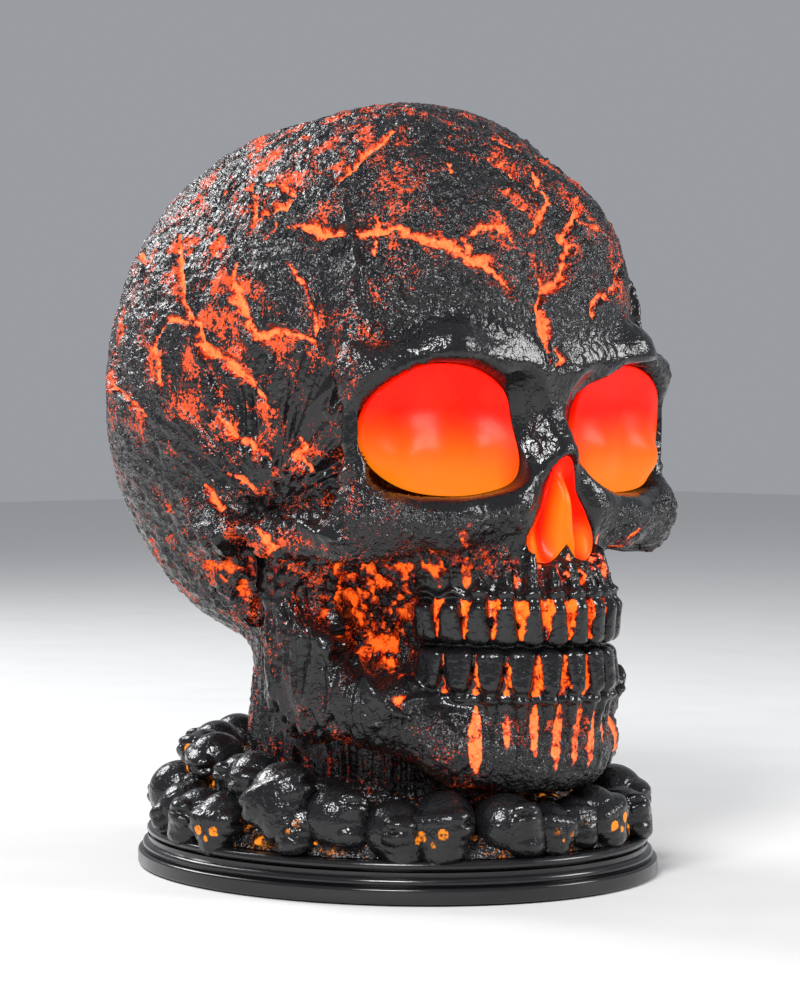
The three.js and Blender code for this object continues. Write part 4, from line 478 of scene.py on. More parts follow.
class Head:
    """The head's form as a field of distances, in millimetres, folded about its middle plane"""

    def __init__(self, s):
        self.half = np.array([s.head_width / 2, s.head_length / 2, s.head_height], np.float32) / MM
        self.middle = np.array([0, s.head_set_back, s.chin_height], np.float32) / MM
        self.axis_y = millimetres(s.plinth_middle)
        self.foot = millimetres(s.plinth_top) + DECK_GAP
        self.top = self.place((0, 0, RAY_TOP_share))[2]
        self.far = self.half[1] * 1.4
        self.eye_size = np.array([s.orbit_half_width, s.orbit_half_height]) / MM
        self.nose_size = np.array([s.nose_half_width, s.nose_height]) / MM
        self.eye_outline = polar(closed_curve(ORBIT_OUTLINE_shares, 12) * self.eye_size)
        half = list(NOSE_OUTLINE_shares)
        ring = closed_curve(half + [(-x, z) for x, z in half[-2:0:-1]], 6) - [0, NOSE_MIDDLE_share]
        self.nose_outline = polar(ring * self.nose_size)
        self.sockets = ((self.eye_frame, self.eye_outline), (self.nose_frame, self.nose_outline))
        self.teeth = self.tooth_places(UPPER_ARCH_shares, UPPER_TEETH, 1)
        self.teeth += self.tooth_places(LOWER_ARCH_shares, LOWER_TEETH, -1)

    def place(self, shares):
        return self.middle + np.array(shares, np.float32) * self.half

    def radii(self, shares):
        return np.array(shares, np.float32) * self.half

    def bone(self, points):
        field = np.inf
        for kind, first, second, *rest in BONE_shares:
            if kind == "blob":
                own = blob_distance(points, self.place(first), self.radii(second))
            else:
                reach = np.array(rest[0]) * self.half[0]
                own = rod_distance(points, self.place(first), self.place(second), reach)
            field = smooth_least(field, own, rest[-1] * self.half[0])
        for middle, radii, blend in HOLLOW_shares:
            own = blob_distance(points, self.place(middle), self.radii(radii))
            field = cut(field, own, blend * self.half[0])
        return field

    def tooth_places(self, arch, count, side):
        """Middle, heading, half width and jaw of each tooth on the right half of an arch"""
        middle, across, forward = self.place(arch[0]), arch[1] * self.half[0], arch[2] * self.half[1]
        places = []
        for i in range(count // 2):
            turn = ARCH_SWEEP * (i + 0.5) / count
            speed = math.hypot(across * math.cos(turn), forward * math.sin(turn))
            heading = math.atan2(forward * math.sin(turn), across * math.cos(turn))
            spot = middle + [across * math.sin(turn), -forward * math.cos(turn), 0]
            places.append((spot, heading, speed * ARCH_SWEEP / count / 2, side, i))
        return places

    def tooth_distance(self, points):
        """Crowns with rounded edges, and the ridges of their roots"""
        field = np.full(len(points), 50, np.float32)
        for spot, heading, half_width, side, index in self.teeth:
            near = np.abs(points - spot).max(axis=1) < TOOTH_REACH
            q = points[near] - spot
            c, s = math.cos(heading), math.sin(heading)
            x = q[:, 0] * c + q[:, 1] * s
            y = -q[:, 0] * s + q[:, 1] * c
            up = q[:, 2] * side
            half = np.array([half_width - 0.55, 3.6, 6.3 - 0.1 * index])
            narrow = 1 - 0.24 * np.clip(up / half[2], -1, 1)
            box = np.stack([np.abs(x) / narrow, np.abs(y + 0.1 * up), np.abs(up)], axis=1)
            box = box - half + CROWN_EDGE
            own = np.linalg.norm(np.maximum(box, 0), axis=1) + np.minimum(box.max(axis=1), 0) - CROWN_EDGE
            if index < len(ROOT_LENGTHS):
                radius, lean = (2.3, 3.0) if side > 0 else (2.2, 1.4)
                start, end = np.array([0, -0.6, 5.0]), np.array([0, lean, ROOT_LENGTHS[index]])
                root = rod_distance(np.stack([x, y, up], axis=1), start, end, (radius, radius * 0.5))
                own = smooth_least(own, root, 0.8)
            field[near] = np.minimum(field[near], own)
        return field

    def eye_frame(self, points):
        q = points - self.place(ORBIT_PLACE_shares)
        c, s = math.cos(EYE_TURN), math.sin(EYE_TURN)
        return -(q[:, 0] * c + q[:, 1] * s), q[:, 2], q[:, 0] * s - q[:, 1] * c

    def nose_place(self):
        return self.place(NOSE_PLACE_shares) + [0, 0, NOSE_MIDDLE_share * self.nose_size[1]]

    def nose_frame(self, points):
        q = points - self.nose_place()
        return q[:, 0], q[:, 2], -q[:, 1]

    def field(self, points, openings=True, teeth=True):
        points = folded(np.array(points, np.float32))
        field = self.bone(points)
        if teeth:
            z = points[:, 2]
            mouth = (points[:, 1] < self.place((0, -0.3, 0))[1]) & (z > MOUTH_LOW) & (z < MOUTH_HIGH)
            mouth &= np.abs(field) < MOUTH_RELIEF
            field[mouth] = smooth_least(field[mouth], self.tooth_distance(points[mouth]), 0.9)
        if openings:
            for frame_of, outline in self.sockets:
                u, v, w = frame_of(points)
                hole = np.maximum(past_edge(u, v, outline) * 0.9, -(w + OPENING_DEPTH))
                field = cut(field, hole, 1.2)
        return field

    def bare(self, points):
        return self.field(points, openings=False, teeth=False)

    def rays(self, columns, rows):
        """Start and direction of each ray from the axis: level ones, then rising ones"""
        share = turns(columns)
        turn = share - FRONT_CROWDING * np.sin(share) - np.pi / 2
        level = self.top - self.foot
        way = np.linspace(0, level + DOME_RADIUS * np.pi / 2, rows, endpoint=False)
        rise = np.maximum(0, way - level) / DOME_RADIUS
        origin, direction = np.zeros((2, rows, columns, 3), np.float32)
        origin[:, :, 1] = self.axis_y
        origin[:, :, 2] = np.minimum(self.foot + way, self.top)[:, None]
        direction[:, :, 0] = np.cos(rise)[:, None] * np.cos(turn)
        direction[:, :, 1] = np.cos(rise)[:, None] * np.sin(turn)
        direction[:, :, 2] = np.sin(rise)[:, None]
        return origin.reshape(-1, 3), direction.reshape(-1, 3)


def cast(field, origin, direction, reach, step, halvings):
    """How far out each ray meets the skin, coming in from a given reach"""
    reach = np.broadcast_to(reach, len(origin)).astype(np.float32)
    alive = np.arange(len(reach))
    while len(alive):
        value = field(origin[alive] + direction[alive] * reach[alive, None])
        alive = alive[value > 0]
        reach[alive] -= np.maximum(step, value[value > 0] * 0.7)
        alive = alive[reach[alive] > 2]
    inner, outer = reach.copy(), reach + step
    for _ in range(4):
        value = field(origin + direction * outer[:, None])
        outer = np.where(value < 0, outer + step, outer)
    for _ in range(halvings):
        middle = (inner + outer) / 2
        inside = field(origin + direction * middle[:, None]) < 0
        inner = np.where(inside, middle, inner)
        outer = np.where(inside, outer, middle)
    return (inner + outer) / 2


def resized(grid, rows, columns):
    """A grid of values read at a finer spacing; its columns go round"""
    wide = np.concatenate([grid, grid[:, :1]], axis=1)
    c = np.linspace(0, grid.shape[1], columns, endpoint=False)
    r = np.linspace(0, grid.shape[0] - 1, rows)
    across = np.stack([np.interp(c, np.arange(wide.shape[1]), row) for row in wide])
    return np.stack([np.interp(r, np.arange(len(grid)), column) for column in across.T], axis=1)


def grid_normals(grid):
    down = np.gradient(grid, axis=0)
    around = np.roll(grid, -1, axis=1) - np.roll(grid, 1, axis=1)
    normal = np.cross(around, down)
    return (normal / (np.linalg.norm(normal, axis=2, keepdims=True) + 1e-9)).astype(np.float32)


def skin_grid(head, columns, rows):
    """Points of the skin on a grid, evened along the skin so that steep places keep detail"""
    rough = (rows // 3, columns // 3)
    first = cast(lambda p: head.field(p, teeth=False), *head.rays(rough[1], rough[0]), head.far, 1.0, 6)
    guess = resized(first.reshape(rough), rows, columns).ravel() + 3
    origin, direction = head.rays(columns, rows)
    reach = cast(head.field, origin, direction, guess, 0.5, 5)
    grid = (origin + direction * reach[:, None]).reshape(rows, columns, 3)
    for _ in range(3):
        grid = evened(head, grid)
    return grid


def evened(head, grid):
    """A grid with its points moved towards the middle of their neighbours and back to the skin"""
    mean = (np.roll(grid, 1, axis=1) + np.roll(grid, -1, axis=1)) / 4
    mean[1:-1] += (grid[2:] + grid[:-2]) / 4
    moved = grid.copy()
    moved[1:-1] += 0.6 * (mean - grid)[1:-1]
    points, probe = moved.reshape(-1, 3), 0.2
    value = head.field(points)
    axes = np.eye(3, dtype=np.float32)
    slope = np.stack([(head.field(points + probe * axis) - value) / probe for axis in axes], axis=1)
    size = np.maximum((slope * slope).sum(axis=1), 0.3)
    points = points - slope * np.clip(value / size, -1, 1)[:, None]
    out = points.reshape(grid.shape)
    out[0] = grid[0]
    return out


# Cracks
def placed(head, table, swell, rng):
    """A table's lines, and those of the right side again on the left, a little shifted"""
    both = []
    for width, places in table:
        width, points = width * swell, np.array([head.place(p) for p in places])
        both.append((width, points))
        if points[:, 0].max() < -0.3 * head.half[0]:
            both.append((width, points * [-1, 1, 1] + rng.normal(0, LINE_SHIFT, 3) * [0, 1, 1]))
    return both


def crack_lines(head):
    """Every crack, with its half width"""
    rng = np.random.default_rng(CRACK_SEED)
    lines = placed(head, CRACK_shares, 1.15, rng)
    return lines + [(width, wander(head, start, rng, count)) for width, start, count in STRAY_shares]


def marked(head, lines, wobble):
    """Points along lines on the skin, with the line's half width at each"""
    points, widths = [], []
    for width, line in lines:
        fine = finer(line, MARK_STEP)
        ends = np.linspace(0, 1, len(fine))
        taper = 0.4 + 0.6 * np.clip(8 * np.minimum(ends, 1 - ends), 0, 1)
        uneven = 1 + 0.5 * noise(fine, 5, 21) + 0.45 * noise(fine, 1.9, 22)
        shift = [noise(fine, 6, 31 + k) + 0.8 * noise(fine, 2.2, 41 + k) for k in range(3)]
        points.append(on_skin(head, fine + wobble * np.stack(shift, axis=1)))
        widths.append(width * taper * uneven)
    return np.concatenate(points), np.concatenate(widths)


def finer(line, step):
    """A line with its points at even steps"""
    gaps = np.linalg.norm(np.diff(line, axis=0), axis=1)
    along = np.concatenate([[0], np.cumsum(gaps)])
    count = max(2, int(along[-1] / step))
    at = np.linspace(0, along[-1], count)
    return np.stack([np.interp(at, along, line[:, k]) for k in range(3)], axis=1)


def wander(head, start, rng, count):
    """A stray crack that wanders over the skin from a place"""
    point = head.place(start).astype(float)
    middle = head.place((0, 0, RAY_TOP_share))
    heading = rng.normal(0, 1, 3)
    line = [point]
    for _ in range(count):
        out = (point - middle) / np.linalg.norm(point - middle)
        heading = heading + rng.normal(0, STRAY_BEND, 3)
        heading -= out * (heading @ out)
        heading /= np.linalg.norm(heading)
        point = point + heading * STRAY_STEP
        line.append(point)
    return np.array(line)


def on_skin(head, points):
    """Moves points along their rays from the axis to the skin"""
    height = np.minimum(points[:, 2], head.top)
    origin = np.stack([np.zeros(len(points)), np.full(len(points), head.axis_y), height], axis=1)
    way = points - origin
    way /= np.linalg.norm(way, axis=1, keepdims=True)
    reach = cast(head.bare, origin.astype(np.float32), way.astype(np.float32), head.far, 1.0, 6)
    return origin + way * reach[:, None]


def line_gaps(head, points, lines, wobble):
    """For each point, the distance to the nearest line and the half width of that line"""
    marks, widths = marked(head, lines, wobble)
    tree = KDTree(len(marks))
    for i, mark in enumerate(marks):
        tree.insert(mark, i)
    tree.balance()
    found = [tree.find(point) for point in points]
    gap = np.array([distance for _, _, distance in found], np.float32)
    return gap, widths[[index for _, index, _ in found]]


def regions(head, points):
    """Flecks, smoothness, streaks and embers of the skin at each point"""
    place = folded(points)
    totals = np.zeros((4, len(points)), np.float32)
    for middle, radii, *amounts in REGION_shares:
        scaled = (place - head.place(middle)) / head.radii(radii)
        totals += np.array(amounts, np.float32)[:, None] * np.exp(-(scaled * scaled).sum(axis=1))
    return totals


def arch_place(head, row, points):
    """Turn round the arch, millimetres from the bite towards the gum, and nearness to the arch"""
    arch, side = row[0], row[1]
    middle = head.place(arch[0])
    across, forward = arch[1] * head.half[0], arch[2] * head.half[1]
    x, y = points[:, 0] / across, (points[:, 1] - middle[1]) / forward
    turn = np.arctan2(x, -y)
    speed = np.hypot(across * np.cos(turn), forward * np.sin(turn))
    reach = np.hypot(x, y)
    near = ramp(reach, 0.72, 0.86) * ramp(-reach, -1.5, -1.3)
    near *= ramp(-np.abs(turn), -ARCH_SWEEP * 0.55, -ARCH_SWEEP * 0.47)
    return turn, speed, (points[:, 2] - middle[2]) * side, near


def slit(off, wide):
    """Share of a slit of that half width, with soft sides"""
    return ramp(-off, -wide - 0.45, -wide + 0.35)


def mouth_detail(head, points):
    """Height of the gum ridges, glow of the gaps between crowns and roots, and the share of mouth"""
    height, glow, cover = np.zeros((3, len(points)), np.float32)
    ragged = 0.4 * noise(points, 1.5, 61) + 0.5 * noise(points, 4, 62)
    for row in TOOTH_ROW_shares:
        side, count, gum, scallop, start, longest = row[1:]
        upper = side > 0
        turn, speed, up, near = arch_place(head, row, points)
        pitch = ARCH_SWEEP / count
        gap = np.round(turn / pitch)
        off = np.abs(turn - gap * pitch) * speed
        own = hashed(np.stack([gap, 0 * gap, 0 * gap], axis=1).astype(np.int64), 7 + side)
        edge = up - (gum - scallop * np.cos(2 * np.pi * turn / pitch) * 0.5)
        beads = 0.85 + 0.35 * noise(points, 2.1, 63)
        height += near * GUM_HEIGHT * beads * np.exp(-((edge / GUM_REACH) ** 2))
        wide = 0.5 + (1.2 if upper else 0.7) * ramp(up, -6, 7) + 0.6 * ragged
        crown = slit(off, wide) * ramp(up, -5.6, -4.2) * ramp(-edge, 0.5, 1.2)
        along = np.clip((up - start) / (longest * (0.62 + 0.38 * own)), 0, 1)
        wide = (1.3 + 0.6 * own) * np.sqrt(np.sin(np.pi * along) + 1e-6) * (1.25 if upper else 1)
        root = slit(off, wide + 0.7 * ragged) * ((along > 0) & (along < 1))
        root *= (0.8 + 0.5 * ragged) if upper else ramp(-np.abs(gap), -5.6, -4)
        lit = near * np.maximum(crown, root) * (0.9 + 0.35 * noise(points, 2.4, 64))
        glow = np.maximum(glow, lit)
        cover = np.maximum(cover, near * ramp(up, -8, -6) * ramp(-up, -gum - 7, -gum - 1.5))
    return height, glow, cover


def opening_rim(head, points):
    """How much a point belongs to the smooth rim round an opening"""
    rim = np.zeros(len(points), np.float32)
    for (frame_of, outline), reach in zip(head.sockets, (3.2, 3.6)):
        u, v, w = frame_of(folded(points))
        near = ramp(-past_edge(u, v, outline), -reach - 2, -reach)
        rim = np.maximum(rim, near * (w > -9) * (w < 22))
    return rim


def fibre_noise(head, points):
    """Noise drawn out along fibres, which fan over the temple from the arch's root and hang below it"""
    hub = head.place(FIBRE_HUB_shares)
    back, up = points[:, 1] - hub[1], points[:, 2] - hub[2]
    far = np.hypot(back, up)
    fan = np.stack([np.arctan2(up, back) * 34, points[:, 0] * 0.1, far], axis=1)
    above = ramp(up, 0, 14)
    total = 0
    for scale, weight, seed in ((1, 1, 3), (1.8, 0.6, 4)):
        fibre = np.array((2.2, 2.2, 16)) * scale
        total = total + weight * (
            noise(points, fibre, seed) * (1 - above) + noise(fan, fibre, seed + 10) * above
        )
    at_hub = ramp(-far, -24, -8)
    return total * (1 - above * at_hub) + 0.4 * above * at_hub


def crack_form(points, share, width, depth):
    """A channel with raised lips and a beaded filling that glows"""
    depth = depth * np.clip(width / 1.2, 0.6, 1.3)
    beads = 0.7 + 0.5 * noise(points, 2.3, 71) + 0.25 * noise(points, 1.2, 72)
    height = -depth * (1 - ramp(share, 0.7, 1.1)) + 0.75 * depth * beads * np.exp(-((share / 0.55) ** 2))
    height += 0.42 * depth * (1 + 0.8 * noise(points, 3.1, 73)) * np.exp(-(((share - 1.5) / 0.4) ** 2))
    return height, 1.12 - 0.62 * share + 0.3 * noise(points, 1.5, 5) + 0.25 * noise(points, 4.5, 74)


def skin_relief(points, smooth, bump):
    """Height of the leathery bumps, of wide waves and of creases, less where the skin is smooth"""
    rough = 1 - 0.85 * smooth
    lumps = np.abs(noise(points, 3.4, 1)) * 0.8 + np.abs(noise(points, 1.7, 2)) * 0.8
    waves = noise(points, 13, 11) + 0.5 * noise(points, 7, 12)
    creases = noise(points, 4.6, 13) + 0.5 * noise(points, 2.3, 14)
    relief = bump * rough * (1.1 - 1.6 * lumps) + WAVE_HEIGHT * (1 - smooth) * waves
    return relief - CREASE_DEPTH * rough * np.exp(-((creases / 0.09) ** 2))


def detailed_skin(head, s):
    """Grid of the skin with its detail, and the paint at each point"""
    grid = skin_grid(head, s.columns, s.rows)
    normal = grid_normals(grid).reshape(-1, 3)
    points = grid.reshape(-1, 3)
    rng = np.random.default_rng(SKIN_SEED)
    fleck, smooth, streak, ember = regions(head, points)
    rise, mouth_glow, mouth = mouth_detail(head, points)
    rim = opening_rim(head, points)
    plain = np.clip(np.maximum(mouth, rim), 0, 1)

    gap, width = line_gaps(head, points, crack_lines(head), 1)
    share = gap / width
    height, glow = crack_form(points, share, width, millimetres(s.crack_depth))
    glow *= 1 - plain
    height *= 1 - plain
    gap, width = line_gaps(head, points, placed(head, EMBER_shares, 1, rng), 1)
    coal = 0.92 - 0.4 * gap / width + 0.4 * noise(points, 1.9, 75) + 0.35 * noise(points, 4.2, 76)
    glow = np.maximum(glow, coal * (1 - mouth))
    height -= COAL_DEPTH * ramp(coal, 0.3, 0.9) * (1 - mouth)
    gap, width = line_gaps(head, points, placed(head, RIDGE_shares, 1, rng), 0.4)
    ridge = np.exp(-((gap / width) ** 2))
    height += RIDGE_HEIGHT * ridge
    glow = glow * (1 - ridge)

    streak = np.clip(streak, 0, 1.2) * (1 - plain)
    smooth = np.clip(np.clip(smooth + ridge + plain, 0, 1) + streak, 0, 1)
    height += skin_relief(points, smooth, millimetres(s.leather_depth))
    ember = np.clip(ember - ridge, 0, 1) * (1 - plain)
    rocks = np.abs(noise(points, 4.2, 8)) + 0.8 * np.abs(noise(points, 1.9, 9))
    height += ember * ROCK_HEIGHT * (0.3 - rocks)
    glow = np.maximum(glow, ember * (0.15 + 0.72 * ramp(rocks, 0.2, 0.9)))
    fibres = np.abs(fibre_noise(head, points))
    height += FIBRE_HEIGHT * streak * (0.4 - fibres) + rise
    glow = np.maximum(glow, streak * (0.75 * ramp(fibres, 0.55, 1.1)))
    glow = np.maximum(glow, mouth_glow)

    moved = (points + normal * height[:, None]).reshape(grid.shape)
    fleck = fleck - ridge - 1.2 * rim - 1.2 * mouth
    fleck = 0.35 + fleck + 0.4 * ramp(-share, -7, -1.5) + 0.4 * noise(points, 17, 7)
    warm = np.clip(mouth + ember + 0.6 * ramp(coal, 0.2, 0.8), 0, 1)
    paint = np.stack([np.clip(glow, 0, 1), np.clip(fleck, 0, 1), smooth, warm], axis=1)
    return moved, paint.reshape(*grid.shape[:2], 4)


# Meshes
def new_piece(name, points, faces, uv, material, paint=None):
    """A smooth mesh object from points in millimetres; faces is a list of arrays of indices"""
    mesh = bpy.data.meshes.new(name)
    mesh.vertices.add(len(points))
    mesh.vertices.foreach_set("co", (np.asarray(points, np.float32) * MM).ravel())
    loops = np.concatenate([f.ravel() for f in faces]).astype(np.int32)
    starts = np.cumsum(np.concatenate([[0]] + [np.full(len(f), f.shape[1]) for f in faces]))[:-1]
    mesh.loops.add(len(loops))
    mesh.loops.foreach_set("vertex_index", loops)
    mesh.polygons.add(len(starts))
    mesh.polygons.foreach_set("loop_start", starts.astype(np.int32))
    mesh.polygons.foreach_set("use_smooth", np.ones(len(starts), bool))
    layer = mesh.uv_layers.new(name="OFBake")
    corners = np.concatenate([u.reshape(-1, 2) for u in uv])
    layer.data.foreach_set("uv", corners.astype(np.float32).ravel())
    mesh.update(calc_edges=True)
    if paint is not None:
        layer = mesh.attributes.new("paint", "FLOAT_COLOR", "POINT")
        layer.data.foreach_set("color", np.asarray(paint, np.float32).ravel())
    mesh.materials.append(material)
    obj = bpy.data.objects.new(name, mesh)
    bpy.context.scene.collection.objects.link(obj)
    return obj


def grid_faces(rows, columns):
    """Quads of a grid that goes round, with the place of each corner on its map"""
    r, c = (part.ravel() for part in np.meshgrid(np.arange(rows - 1), np.arange(columns), indexing="ij"))
    here, after = r * columns + c, r * columns + (c + 1) % columns
    quads = np.stack([here, after, after + columns, here + columns], axis=1)
    u = np.stack([c, c + 1, c + 1, c], axis=1) / columns
    v = np.stack([r, r, r + 1, r + 1], axis=1) / rows
    return quads, np.stack([u, v], axis=2)


def capped_faces(rows, columns):
    """Faces of such a grid and of the fan that closes it at one more point, with their map"""
    quads, uv = grid_faces(rows, columns)
    c = np.arange(columns)
    first = (rows - 1) * columns
    fan = np.stack([first + c, first + (c + 1) % columns, np.full(columns, rows * columns)], axis=1)
    across = c / columns
    step, low = 1 / columns, (rows - 1) / rows
    fan_uv = np.stack([
        np.stack([across, np.full(columns, low)], axis=1),
        np.stack([across + step, np.full(columns, low)], axis=1),
        np.stack([across + step / 2, np.ones(columns)], axis=1),
    ], axis=1)
    return [quads, fan], [uv, fan_uv]


# Finishes
class Finish:
    """A new material, with short ways to add and join its nodes"""

    def __init__(self, name):
        self.material = bpy.data.materials.new(name)
        self.material.use_nodes = True
        self.tree = self.material.node_tree
        self.surface = self.tree.nodes["Principled BSDF"]

    def add(self, kind, **settings):
        node = self.tree.nodes.new("ShaderNode" + kind)
        for key, value in settings.items():
            setattr(node, key, value)
        return node

    def put(self, socket, value):
        if isinstance(value, bpy.types.NodeSocket):
            self.tree.links.new(value, socket)
        elif socket.type == "RGBA":
            socket.default_value = (*value, 1)
        else:
            socket.default_value = value

    def put_all(self, node, **inputs):
        for key, value in inputs.items():
            self.put(node.inputs[key.replace("_", " ").title().replace("Ior", "IOR")], value)
        return node

    def math(self, operation, a, b=0.5):
        node = self.add("Math", operation=operation)
        self.put(node.inputs[0], a)
        self.put(node.inputs[1], b)
        return node.outputs[0]

    def plus(self, a, b):
        return self.math("ADD", a, b)

    def minus(self, a, b):
        return self.math("SUBTRACT", a, b)

    def times(self, a, b):
        return self.math("MULTIPLY", a, b)

    def swing(self, value, size=1.0):
        """A noise moved so that it swings about 0"""
        return self.times(self.minus(value, 0.5), size)

    def noise(self, feature, detail=3.0, roughness=0.55, stretch=None):
        """Noise from 0 to 1 with features of that size in millimetres"""
        place = self.add("TexCoord").outputs["Object"]
        if stretch:
            place = self.put_all(self.add("Mapping"), vector=place, scale=stretch).outputs[0]
        node = self.add("TexNoise")
        self.put_all(node, vector=place, scale=1 / (feature * MM), detail=detail, roughness=roughness)
        return node.outputs["Fac"]

    def span(self, value, low, high, to_low=0.0, to_high=1.0, smooth=True):
        node = self.add("MapRange", interpolation_type="SMOOTHSTEP" if smooth else "LINEAR")
        self.put_all(node, value=value, from_min=low, from_max=high, to_min=to_low, to_max=to_high)
        return node.outputs[0]

    def mix(self, share, a, b):
        node = self.add("Mix", data_type="RGBA")
        self.put(node.inputs["Factor"], share)
        self.put(node.inputs[6], a)
        self.put(node.inputs[7], b)
        return node.outputs[2]

    def bump(self, height, depth, strength=1.0):
        """A bump of that depth in millimetres for a height from 0 to 1"""
        node = self.put_all(self.add("Bump"), strength=strength, distance=depth * MM, height=height)
        return node.outputs[0]

    def paint(self):
        """The paint of the mesh: glow, flecks, smoothness and warmth"""
        node = self.add("Attribute", attribute_name="paint")
        split = self.add("SeparateColor")
        self.put(split.inputs[0], node.outputs["Color"])
        return *split.outputs[:3], node.outputs["Alpha"]

    def set(self, **inputs):
        self.put_all(self.surface, **inputs)


def skin_finish(name, bright, warm_bright, deep, glow_power):
    """Translucent plastic that glows where the black paint of the high places is missing"""
    t = Finish(name)
    glow, fleck, smooth, warm = t.paint()
    fine = t.noise(0.9, 4.0, 0.62)
    crack = t.plus(glow, t.swing(fine, 0.9))
    crack = t.span(t.plus(crack, t.swing(t.noise(2.2, 4.0, 0.65))), 0.44, 1.02)
    veins = t.math("ABSOLUTE", t.swing(t.noise(2.6, 6.0, 0.7)))
    level = t.plus(veins, t.swing(t.noise(0.75, 3.0, 0.6), 0.25))
    spread = t.times(fleck, t.plus(t.swing(t.noise(8.0, 2.0, 0.5), 0.6), 0.028))
    specks = t.span(t.minus(spread, level), 0.016, 0.04, 0.0, 0.55)
    specks = t.times(specks, t.span(fleck, 0.04, 0.3))
    glow_level = t.math("MAXIMUM", crack, specks)
    colour = t.mix(t.span(glow_level, 0.2, 1.0), deep, t.mix(warm, bright, warm_bright))
    bare = t.span(glow_level, 0.05, 0.5)
    t.set(base_color=t.mix(bare, colours().paint, colour))
    t.set(roughness=t.plus(t.span(fine, 0.3, 0.7, 0.18, 0.3), t.times(bare, 0.15)))
    t.set(emission_color=colour, emission_strength=t.times(glow_level, glow_power))
    crease = t.math("ABSOLUTE", t.swing(t.noise(3.6, 3.0, 0.55)))
    height = t.plus(t.span(crease, 0.0, 0.14, 0.0, 0.7, smooth=False), t.noise(1.5, 3.0, 0.55))
    normal = t.bump(t.times(height, t.minus(1.0, t.times(smooth, 0.8))), 0.65, 0.9)
    t.set(normal=normal, coat_normal=normal, coat_weight=t.minus(0.65, t.times(bare, 0.5)))
    t.set(specular_ior_level=0.15, coat_roughness=0.11)
    return t.material


def lens_finish():
    """Painted light of the LEDs below: dim red at the top, bright orange below and along the bulges, with a
    fine grain
    """
    t, c = Finish("lens_lit"), colours()
    grain = t.noise(0.8, 3.0, 0.6)
    glow_level = t.plus(t.paint()[0], t.swing(t.noise(9.0, 3.0, 0.5), 0.16))
    glow_level = t.plus(glow_level, t.span(grain, 0.62, 0.74, 0.0, 0.12))
    t.set(emission_color=t.mix(t.span(glow_level, 0.0, 1.0, smooth=False), c.lens_dim_glow, c.lens_bright_glow))
    t.set(base_color=(0.3, 0.004, 0.0), roughness=t.span(grain, 0.3, 0.7, 0.34, 0.46))
    t.set(emission_strength=LENS_GLOW, specular_ior_level=0.12, coat_weight=0.08, coat_roughness=0.2)
    t.set(normal=t.bump(t.noise(1.3, 4.0, 0.6), 0.1, 0.5))
    return t.material


def moulded_finish(name, colour, low, high, grain, depth):
    """Moulded plastic with a grain and patches of wear"""
    t = Finish(name)
    wear = t.noise(14.0, 5.0, 0.6)
    worn = tuple(min(1, v * 1.8 + 0.01) for v in colour)
    t.set(base_color=t.mix(t.span(wear, 0.55, 0.8, 0.0, 0.5), colour, worn))
    t.set(roughness=t.span(wear, 0.3, 0.7, low, high))
    t.set(normal=t.bump(t.noise(grain, 3.0, 0.6), depth, 0.7))
    return t.material


def metal_finish(name, colour, low, high):
    t = Finish(name)
    wear = t.noise(3.0, 4.0, 0.6)
    t.set(base_color=t.mix(wear, colour, tuple(v * 0.7 for v in colour)), metallic=1.0)
    t.set(roughness=t.span(wear, 0.3, 0.7, low, high))
    t.set(normal=t.bump(t.noise(0.6, 3.0, 0.6, (1, 6, 1)), 0.03, 0.6))
    return t.material


def lit_finish(name, colour, power):
    t = Finish(name)
    t.set(base_color=colour, roughness=t.span(t.noise(1.2), 0.3, 0.7, 0.1, 0.25), emission_color=colour)
    t.set(emission_strength=power, coat_weight=0.4)
    t.set(normal=t.bump(t.noise(0.8), 0.02, 0.4))
    return t.material


def piece_done(obj, slot, *nodes):
    """Hides the CAD nodes that a piece stands for and hangs the piece on the lamp's body; slot is not used
    """
    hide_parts(*nodes)
    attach(obj, BODY)


class SKULLLAMP_OT_skin(bpy.types.Operator):
    """Makes the skull's skin with its cracks, teeth and painted high places"""

    bl_idname = "skull_lamp.skin"
    bl_label = "Skin"

    def execute(self, context):
        s, c = sizes(), colours()
        grid, paint = detailed_skin(Head(s), s)
        crown = grid[-1].mean(axis=0)[None] + [0, 0, 0.02]
        points = np.concatenate([grid.reshape(-1, 3), crown])
        paint = np.concatenate([paint.reshape(-1, 4), paint[-1].mean(axis=0)[None]])
        material = skin_finish("skin", c.ember_bright, c.ember_warm, c.ember_deep, SKIN_GLOW)
        obj = new_piece("skull_skin", points, *capped_faces(*grid.shape[:2]), material, paint)
        piece_done(obj, "shell", "skull_shell")
        return {"FINISHED"}


def eye_depth(u, v, share, size):
    """How far the eye lens stands out of its rim's level: two low bulges and a flat upper half"""
    rise = -0.8 * (1 - share**2)
    for (x, y), (across, up), height in EYE_BULGE_shares:
        off = ((u / size[0] - x) / across) ** 2 + ((v / size[1] - y) / up) ** 2
        rise = rise + height * np.exp(-off) * (1 - share**9)
    return rise


def pear_width(y):
    """Half width of the nose's pear, as a share, by height"""
    return 0.25 - 0.4 * np.clip(y, -0.35, 0.25)


def nose_depth(u, v, share, size):
    """How far the nose lens stands out of its rim's level: a bowl with a pear-shaped middle"""
    y = v / size[1]
    bowl = -4.5 * (1 - share**4)
    pear = 6.8 * np.exp(-((u / (pear_width(y) * size[0])) ** 4) - ((y + 0.04) / 0.4) ** 4)
    lobe = 1.8 * np.exp(-(((np.abs(u) / size[0] - 0.78) / 0.16) ** 2) - ((y + 0.26) / 0.14) ** 2)
    return bowl + (pear + lobe) * (1 - share**6)


